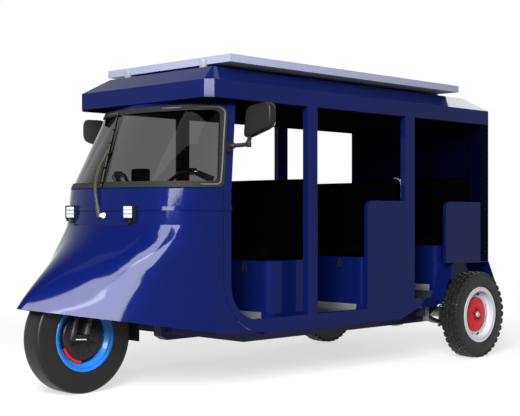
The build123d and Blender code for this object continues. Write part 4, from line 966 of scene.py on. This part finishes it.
for rowName in ("front", "middle", "rear"):
    for kind, (axis, bevel, fill) in padSet["kinds"].items():
        nodeName = f"{kind}_{rowName}"
        boxLow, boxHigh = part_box(nodeName)
        low = Vector([value + padSet["inset"] for value in boxLow])
        high = Vector([value - padSet["inset"] for value in boxHigh])
        if kind == "cushion":
            low[2] -= padSet["inset"] - 0.001
        piece = bevelledBox(f"pad_{nodeName}", low, high, bevel, 4)
        swell(piece)
        sewSeams(piece, axis, low, high)
        bpy.ops.object.modifier_add(type="SMOOTH")
        piece.modifiers[-1].iterations = 3
        bpy.ops.object.modifier_apply(modifier=piece.modifiers[-1].name)
        for vertex in piece.data.vertices:
            for index in range(3):
                vertex.co[index] = min(max(vertex.co[index], boxLow[index]), boxHigh[index])
        dress(piece, seatVinyl, "body", (nodeName,), 60)
        # piping round the pad's edge
        room = padSet["pipingIn"]
        x0, x1 = low[0] + room, high[0] - room
        if kind == "cushion":
            y0, y1, z = low[1] + room, high[1] - room, high[2] - 0.004
            ring = [(x0, y0, z), (x1, y0, z), (x1, y1, z), (x0, y1, z)]
        else:
            ring = faceAt(low[1] + 0.004, x0, x1, low[2] + room, high[2] - room)
        piping = tube(f"piping_{nodeName}", roundedOutline(ring, 0.045), 0.004, closed=True, sides=2)
        dress(piping, seatVinyl, "body")
print("seats made")

# seat boxes: two latches and a kick strip each
parts, stripParts = [], []
for rowName in ("front", "middle", "rear"):
    low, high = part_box(f"seat_box_{rowName}")
    face, top = low[1], high[2]
    for x in (-0.3, 0.3):
        for kind, half, y0, y1, z0, z1, bevel in (
            ("latch", 0.018, -0.01, 0.001, -0.075, -0.03, 0.003),
            ("hasp", 0.01, -0.014, -0.008, -0.06, -0.008, 0.002),
        ):
            parts.append(bevelledBox(kind, (x - half, face + y0, top + z0), (x + half, face + y1, top + z1), bevel))
    stripLow = (low[0] + 0.065, face - 0.003, low[2] + 0.001)
    stripHigh = (high[0] - 0.065, face + 0.001, low[2] + 0.045)
    stripParts.append(bevelledBox("strip", stripLow, stripHigh, 0.001))
dress(joinAll("seatLatches", parts), blackPlastic, "body")
dress(joinAll("kickStrips", stripParts), treadAluminium, "body")

# solar module: half cells under glass, clamps at the rack
solarSet = {"columns": 6, "rows": 24, "margin": 0.02, "gap": 0.003, "corner": 0.008}
low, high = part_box("solar_module")
glassTop = high[2] - 0.002
stepX = (high[0] - low[0] - 2 * solarSet["margin"]) / solarSet["columns"]
stepY = (high[1] - low[1] - 2 * solarSet["margin"]) / solarSet["rows"]
x0, y0 = low[0] + solarSet["margin"], low[1] + solarSet["margin"]
cellX, cellY, cut = stepX - solarSet["gap"], stepY - solarSet["gap"], solarSet["corner"]
x1, y1 = x0 + cellX, y0 + cellY
cell = [(x0 + cut, y0), (x1 - cut, y0), (x1, y0 + cut), (x1, y1), (x0, y1), (x0, y0 + cut)]
piece = plate("solarCells", [(x, y, glassTop) for x, y in cell], (0, 0, 0.0006))
for step, count in (((stepX, 0, 0), solarSet["columns"]), ((0, stepY, 0), solarSet["rows"])):
    bpy.ops.object.modifier_add(type="ARRAY")
    array = piece.modifiers[-1]
    array.use_relative_offset = False
    array.use_constant_offset = True
    array.constant_offset_displace = step
    array.count = count
    bpy.ops.object.modifier_apply(modifier=array.name)
solarBlue = finishOf("solarCell", (0.006, 0.008, 0.022), roughness=0.25, coat=1.0, coatRoughness=0.03, specular=0.4)
solarTree = solarBlue.node_tree
solarCoords = addNode(solarTree, "TexCoord")
solarWave = {"Vector": solarCoords.outputs["Object"], "Scale": 16.5}
solarWave = addNode(solarTree, "TexWave", solarWave, bands_direction="X")
solarStops = ((0.955, (0.006, 0.008, 0.022)), (0.985, (0.3, 0.31, 0.33)))
solarLines = addRamp(solarTree, solarWave.outputs["Color"], solarStops)
solarTree.links.new(solarLines, solarTree.nodes["Principled BSDF"].inputs["Base Color"])
dress(piece, solarBlue, "body", smooth=0)
parts = []
for x in (-0.35, 0.35):
    for y, out in ((low[1], -1), (high[1], 1)):
        y0, y1, z = min(y, y + out * 0.022), max(y, y + out * 0.022), low[2]
        parts.append(bevelledBox("clamp", (x - 0.022, y0, z - 0.02), (x + 0.022, y1, z + 0.024), 0.002))
        at = (x, y + out * 0.012)
        parts.append(drum("clampBolt", (*at, z + 0.022), (*at, z + 0.031), 0.006, 0.001, 6))
dress(joinAll("moduleClamps", parts), castMetal, "body")
print("solar module made")

# floor: raised tread bars, two ways round in turn, with painted shade between them
treadSet = {"pitch": 0.034, "long": 0.36, "wide": 0.085, "strength": 0.9, "high": 0.004}


def treadRelief(material):
    tree = material.node_tree
    inputs = tree.nodes["Principled BSDF"].inputs

    def calc(operation, *values):
        return addNode(tree, "Math", dict(enumerate(values)), operation=operation).outputs[0]

    def within(alongBar, acrossBar):
        # under 1 inside an ellipse as long and wide as a bar
        sides = ((alongBar, treadSet["long"]), (acrossBar, treadSet["wide"]))
        return calc("ADD", *[calc("POWER", calc("DIVIDE", calc("ABSOLUTE", off), size), 2.0) for off, size in sides])

    coords = addNode(tree, "TexCoord")
    split = addNode(tree, "SeparateXYZ", {0: coords.outputs["Object"]})
    across, along = (calc("DIVIDE", split.outputs[axis], treadSet["pitch"]) for axis in "XY")
    turned = calc("FLOORED_MODULO", calc("ADD", calc("FLOOR", across), calc("FLOOR", along)), 2.0)
    u, v = (calc("SUBTRACT", calc("FRACT", place), 0.5) for place in (across, along))
    first = calc("MULTIPLY", within(u, v), calc("SUBTRACT", 1.0, turned))
    second = calc("MULTIPLY", within(v, u), turned)
    height = calc("MAXIMUM", calc("SUBTRACT", 1.0, calc("ADD", first, second)), 0.0)
    bump = {"Strength": treadSet["strength"], "Distance": treadSet["high"], "Height": height}
    tree.links.new(addNode(tree, "Bump", bump).outputs["Normal"], inputs["Normal"])
    # painted shade: the plate between the bars is coloured dark, the bars pale
    barsOverPaintedShade = addRamp(tree, height, ((0.0, (0.07, 0.072, 0.08)), (0.35, (0.62, 0.63, 0.66))))
    tree.links.new(barsOverPaintedShade, inputs["Base Color"])


treadFloor = finishOf("treadFloor", (0.3, 0.3, 0.32), metallic=0.8, roughness=0.4)
treadRelief(treadFloor)
cadNodes["floor_pan"].data.materials[0] = treadFloor

# cowl trim: dark seams, screws and the prow's joint
cowlForm = {
    "low": (0.953, 0.12, 0.9, 18.3, 0.31, 0.61, 0.546),
    "high": (1.156, 0.15, 0.986, 18.3, 0.31, 0.61, 0.546),
}
cowlTrim = {
    "seams": ((0.953, 0.0018), (1.0305, 0.0016)),
    "screws": ((0.965, 0.22), (0.965, 1.2), (1.02, 2.93)),
    "sillBolts": (0.86, 1.31, 1.6, 1.9, 2.2, 2.3),
    "panelBolts": (1.9, 2.19, 2.3, 2.77, 3.09, 3.2),
}


def cowlSpot(z, s, out, side):
    return formSpot(cowlForm["low"], cowlForm["high"], z, s, out, side)


def cowlLine(name, z, out, radius):
    shares = [3.0 * step / 24 for step in range(25)]
    near = [cowlSpot(z, s, out, 1) for s in shares]
    far = [cowlSpot(z, s, out, -1) for s in shares[1:]]
    return tube(name, list(reversed(far)) + near, radius, sides=1)


seamLine = finishOf("seamLine", (0.002, 0.002, 0.006), roughness=0.8, relief=(200, 0.1))
parts = [cowlLine("seam", z, -0.0008, radius) for z, radius in cowlTrim["seams"]]
dress(joinAll("cowlSeams", parts), seamLine, "body")
parts = []
for z, s in cowlTrim["screws"]:
    for side in (-1, 1):
        at = cowlSpot(z, s, 0.0, side)
        out = (cowlSpot(z, s, 0.01, side) - at).normalized()
        parts.append(drum("screw", at - out * 0.002, at + out * 0.0025, 0.006, 0.001, 12, 0.0045))
# panel bolts along the sills and the posts' feet
for side in (-1, 1):
    places = [(behind, 0.356, 0.007, 0.005) for behind in cowlTrim["sillBolts"]]
    for behind in cowlTrim["panelBolts"]:
        places += [(behind, z, 0.006, 0.0045) for z in ((0.74, 1.05) if behind > 1.95 else (0.46, 1.05))]
    for behind, z, radius, topRadius in places:
        ends = (sided(side, (x, behind, z)) for x in (0.609, 0.6125))
        parts.append(drum("bolt", *ends, radius, 0.001, 12, topRadius))
dress(joinAll("panelBolts", parts), bodyPaint, "body")
print("cowl trim made")

# tail: lamp bodies with three lenses each, a blank plate and pressed swages
tailSet = {"x": 0.52, "behind": 3.249, "width": 0.1, "low": 0.76, "high": 0.9}
amberLens = finishOf("amberLens", (0.75, 0.22, 0.01), roughness=0.15, coat=1.0, relief=(120, 0.2))
clearLens = finishOf("clearLens", (0.7, 0.71, 0.72), roughness=0.12, coat=1.0, relief=(120, 0.2))
bodies, lenses = [], {"red": [], "amber": [], "clear": []}
for side in (-1, 1):
    x, half, y = side * tailSet["x"], tailSet["width"] / 2, rowY(tailSet["behind"])
    low, high = tailSet["low"], tailSet["high"]
    bodies.append(bevelledBox("lampBody", (x - half, y - 0.001, low), (x + half, y + 0.014, high), 0.004))
    third = (high - low - 0.01) / 3
    for index, tint in enumerate(("clear", "amber", "red")):
        z = low + 0.005 + index * third
        lensLow, lensHigh = (x - half + 0.005, y + 0.01, z + 0.001), (x + half - 0.005, y + 0.027, z + third - 0.001)
        lenses[tint].append(bevelledBox("lens", lensLow, lensHigh, 0.006, 3))
        for rib in range(5):
            ribX = x - half + 0.016 + rib * 0.017
            ribHigh = (ribX + 0.003, y + 0.0285, z + third - 0.008)
            lenses[tint].append(bevelledBox("rib", (ribX, y + 0.024, z + 0.008), ribHigh, 0.001))
dress(joinAll("tailLampBodies", bodies), blackPlastic, "body", ("tail_lamps",))
for tint, lensFinish in (("red", redLens), ("amber", amberLens), ("clear", clearLens)):
    dress(joinAll(f"tailLens_{tint}", lenses[tint]), lensFinish, "body")
y = rowY(tailSet["behind"])
piece = bevelledBox("blankPlate", (-0.24, y, 0.565), (0.24, y + 0.004, 0.675), 0.0015)
dress(piece, whiteCap, "body")
places = [(x, z) for x in (-0.21, 0.21) for z in (0.585, 0.655)]
parts = [drum("screw", (x, y + 0.003, z), (x, y + 0.007, z), 0.006, 0.001, 12) for x, z in places]
for half, z0, z1 in ((0.4, 1.18, 1.56), (0.36, 0.74, 1.04)):
    ring = roundedOutline(faceAt(y, -half, half, z0, z1), 0.07)
    parts.append(tube("swage", ring, 0.007, closed=True, sides=2))
dress(joinAll("rearSwages", parts), bodyPaint, "body")
print("tail made")

# underbody: separate leaves, U-bolts, shackle plates, casting bolts and ribs
springSet = {
    "x": 0.47,
    "axle": 2.92,
    "half": 0.03,
    "eye": 0.3,
    "low": 0.221,
    "reach": 0.3,
    "leaves": (0.3, 0.235, 0.17, 0.11),
    "thick": 0.0068,
    "pitch": 0.0072,
    "plate": (2.588, 2.652, 0.262, 0.362),
}
sag = springSet["eye"] - springSet["low"]
bend = (springSet["reach"] ** 2 + sag**2) / (2 * sag)
axleY = rowY(springSet["axle"])
parts, boltParts = [], []
for side in (-1, 1):
    middle = side * springSet["x"]
    x = middle - springSet["half"]
    for count, reach in enumerate(springSet["leaves"]):
        top, under = [], []
        for step in range(17):
            y = -reach + 2 * reach * step / 16
            z = springSet["low"] + bend - (bend**2 - y**2) ** 0.5 + 0.028 - count * springSet["pitch"]
            top.append((x, axleY + y, z))
            under.append((x, axleY + y, z - springSet["thick"]))
        parts.append(plate("leaf", top + under[::-1], (2 * springSet["half"], 0, 0), 0.001, 1, 60))
    for y in (axleY - springSet["reach"], axleY + springSet["reach"]):
        parts.append(drum("eye", (x - 0.004, y, 0.318), (x + 0.064, y, 0.318), 0.02, 0.002, 24))
    across = springSet["half"] + 0.008
    for y in (axleY - 0.04, axleY + 0.04):
        bow = ((-1, 0.2), (-1, 0.33), (-1, 0.352), (0, 0.356), (1, 0.352), (1, 0.33), (1, 0.2))
        boltParts.append(tube("uBolt", [(middle + share * across, y, z) for share, z in bow], 0.006))
        for nutX in (middle - across, middle + across):
            boltParts.append(drum("nut", (nutX, y, 0.202), (nutX, y, 0.212), 0.011, 0.001, 6))
    for sign in (-1, 1):
        faceX = middle + sign * 0.034
        front, back, z0, z1 = springSet["plate"]
        front, back = rowY(front), rowY(back)
        ring = [(faceX, front, z0), (faceX, back, z0), (faceX, back, z1), (faceX, front, z1)]
        boltParts.append(plate("shackle", roundedOutline(ring, 0.018), (sign * 0.006, 0, 0), 0.001, 1, 60))
        for z in (0.286, 0.336):
            at = (rowY(2.62), z)
            boltParts.append(drum("bolt", (faceX, *at), (faceX + sign * 0.014, *at), 0.01, 0.0012, 6))
dress(joinAll("springLeaves", parts), springSteel, "body")
motorSet = {
    "z": 0.304,
    "case": 0.112,
    "ring": 0.084,
    "flanges": (3.06, 3.18),
    "fin": 0.0886,
    "fins": 9,
    "finFrom": 3.075,
    "finPitch": 0.011,
}


def roundMotor(y, radius, step):
    # points round the motor's axis at a place along it
    turns = [math.radians(angle) for angle in range(0, 360, step)]
    return [Vector((radius * math.cos(turn), y, motorSet["z"] + radius * math.sin(turn))) for turn in turns]


for side in (-1, 1):
    for ring in roundMotor(0.0, motorSet["case"], 30):
        y, z = axleY + ring.x, ring.z
        if ring.x < 0.02:
            boltParts.append(drum("caseBolt", (side * 0.05, y, z), (side * 0.074, y, z), 0.008, 0.001, 6))
dress(joinAll("underBolts", boltParts), castMetal, "body")
parts = []
low, high = motorSet["ring"] * 0.96, motorSet["ring"] * 1.06
for index in range(12):
    for behind in motorSet["flanges"]:
        ends = (roundMotor(rowY(behind), radius, 30)[index] for radius in (low, high))
        parts.append(drum("motorBolt", *ends, 0.006, 0.001, 6))
for fin in range(motorSet["fins"]):
    ring = roundMotor(rowY(motorSet["finFrom"] + fin * motorSet["finPitch"]), motorSet["fin"], 15)
    parts.append(tube("fin", ring, 0.0028, closed=True, sides=1))
dress(joinAll("motorFins", parts), castMetal, "body")
print("underbody made")

# mudflap ribs and rivets, fork shrouds, coil springs on the shocks
parts = []
for rib in range(-3, 4):
    x = rib * 0.028
    parts.append(bevelledBox("rib", (x - 0.004, rowY(0.354), 0.285), (x + 0.004, rowY(0.3615), 0.5), 0.002))
for x in (-0.05, 0.05):
    parts.append(drum("rivet", spot(x, 0.352, 0.54), spot(x, 0.361, 0.54), 0.008, 0.001, 12))
dress(joinAll("mudflapRibs", parts), sealRubber, "body")
forkSet = {
    "x": 0.104,
    "axleZ": 0.322,
    "shock": ((-0.022, 0.345), (0.075, 0.68)),
    "leg": ((-0.118, 0.322), (-0.017, 0.7)),
    "coils": 8,
    "coilRadius": 0.0195,
    # name: share from and to along the leg, radius, bevel
    "sleeves": (("legCap", -0.03, 0.16, 0.0215, 0.003), ("legCollar", 0.5, 0.54, 0.0205, 0.002)),
}
parts, bright = [], []
for side in (-1, 1):
    x, z = side * forkSet["x"], forkSet["axleZ"]
    low, high = (spot(x, *end) for end in forkSet["shock"])
    turns = []
    run = high - low
    across = Vector((1, 0, 0))
    upright = run.normalized().cross(across)
    for step in range(forkSet["coils"] * 10 + 1):
        angle = 2 * math.pi * step / 10
        reach = across * math.cos(angle) + upright * math.sin(angle)
        turns.append(low + run * (0.1 + 0.72 * step / 80) + reach * forkSet["coilRadius"])
    parts.append(tube("coil", turns, 0.0035, sides=2))
    legLow, legHigh = (spot(x, *end) for end in forkSet["leg"])
    for kind, start, end, radius, bevel in forkSet["sleeves"]:
        parts.append(drum(kind, legLow.lerp(legHigh, start), legLow.lerp(legHigh, end), radius, bevel, 28))
    for behind in (0.0, -0.118):
        ends = (spot(x + side * out, behind, z) for out in (0.005, 0.024))
        parts.append(drum("axleNut", *ends, 0.014, 0.0015, 6))
    pinX = x + side * 0.014
    bright.append(drum("linkPin", spot(pinX, -0.112, z), spot(pinX, -0.03, 0.316), 0.0065, 0.001, 20))
dress(joinAll("forkShrouds", parts), blackMetal, "steering")
dress(joinAll("forkPins", bright), chromeTube, "steering")
print("fork trim made")

# painted shade: a black sheet under the roof, standing for the shade of the roof's underside, and the brakes' backing
# plates
# near-black painted shade for the dark under the roof
shadeSheetFinish = finishOf("headliner", (0.0025, 0.0025, 0.003), roughness=0.95, specular=0.0, relief=(600, 0.3))
parts = []
# half width, front, rear, underside of the sheet and of its front edge
for half, front, back, under in ((0.6, 0.47, 3.22, 1.6625), (0.33, 0.455, 0.475, 1.66)):
    parts.append(bevelledBox("sheet", (-half, rowY(front), under), (half, rowY(back), 1.6695), 0.002))
dress(joinAll("headliner", parts), shadeSheetFinish, "body")
for sideName, out in (("left", 1), ("right", -1)):
    profile = outward(out, rearWheel["brakePlate"])
    piece = arcBand(f"brakePlate_{sideName}", profile, rearWheel[sideName], -140, 140, 48)
    dress(piece, blackMetal, "body")
print("headliner and brake plates made")
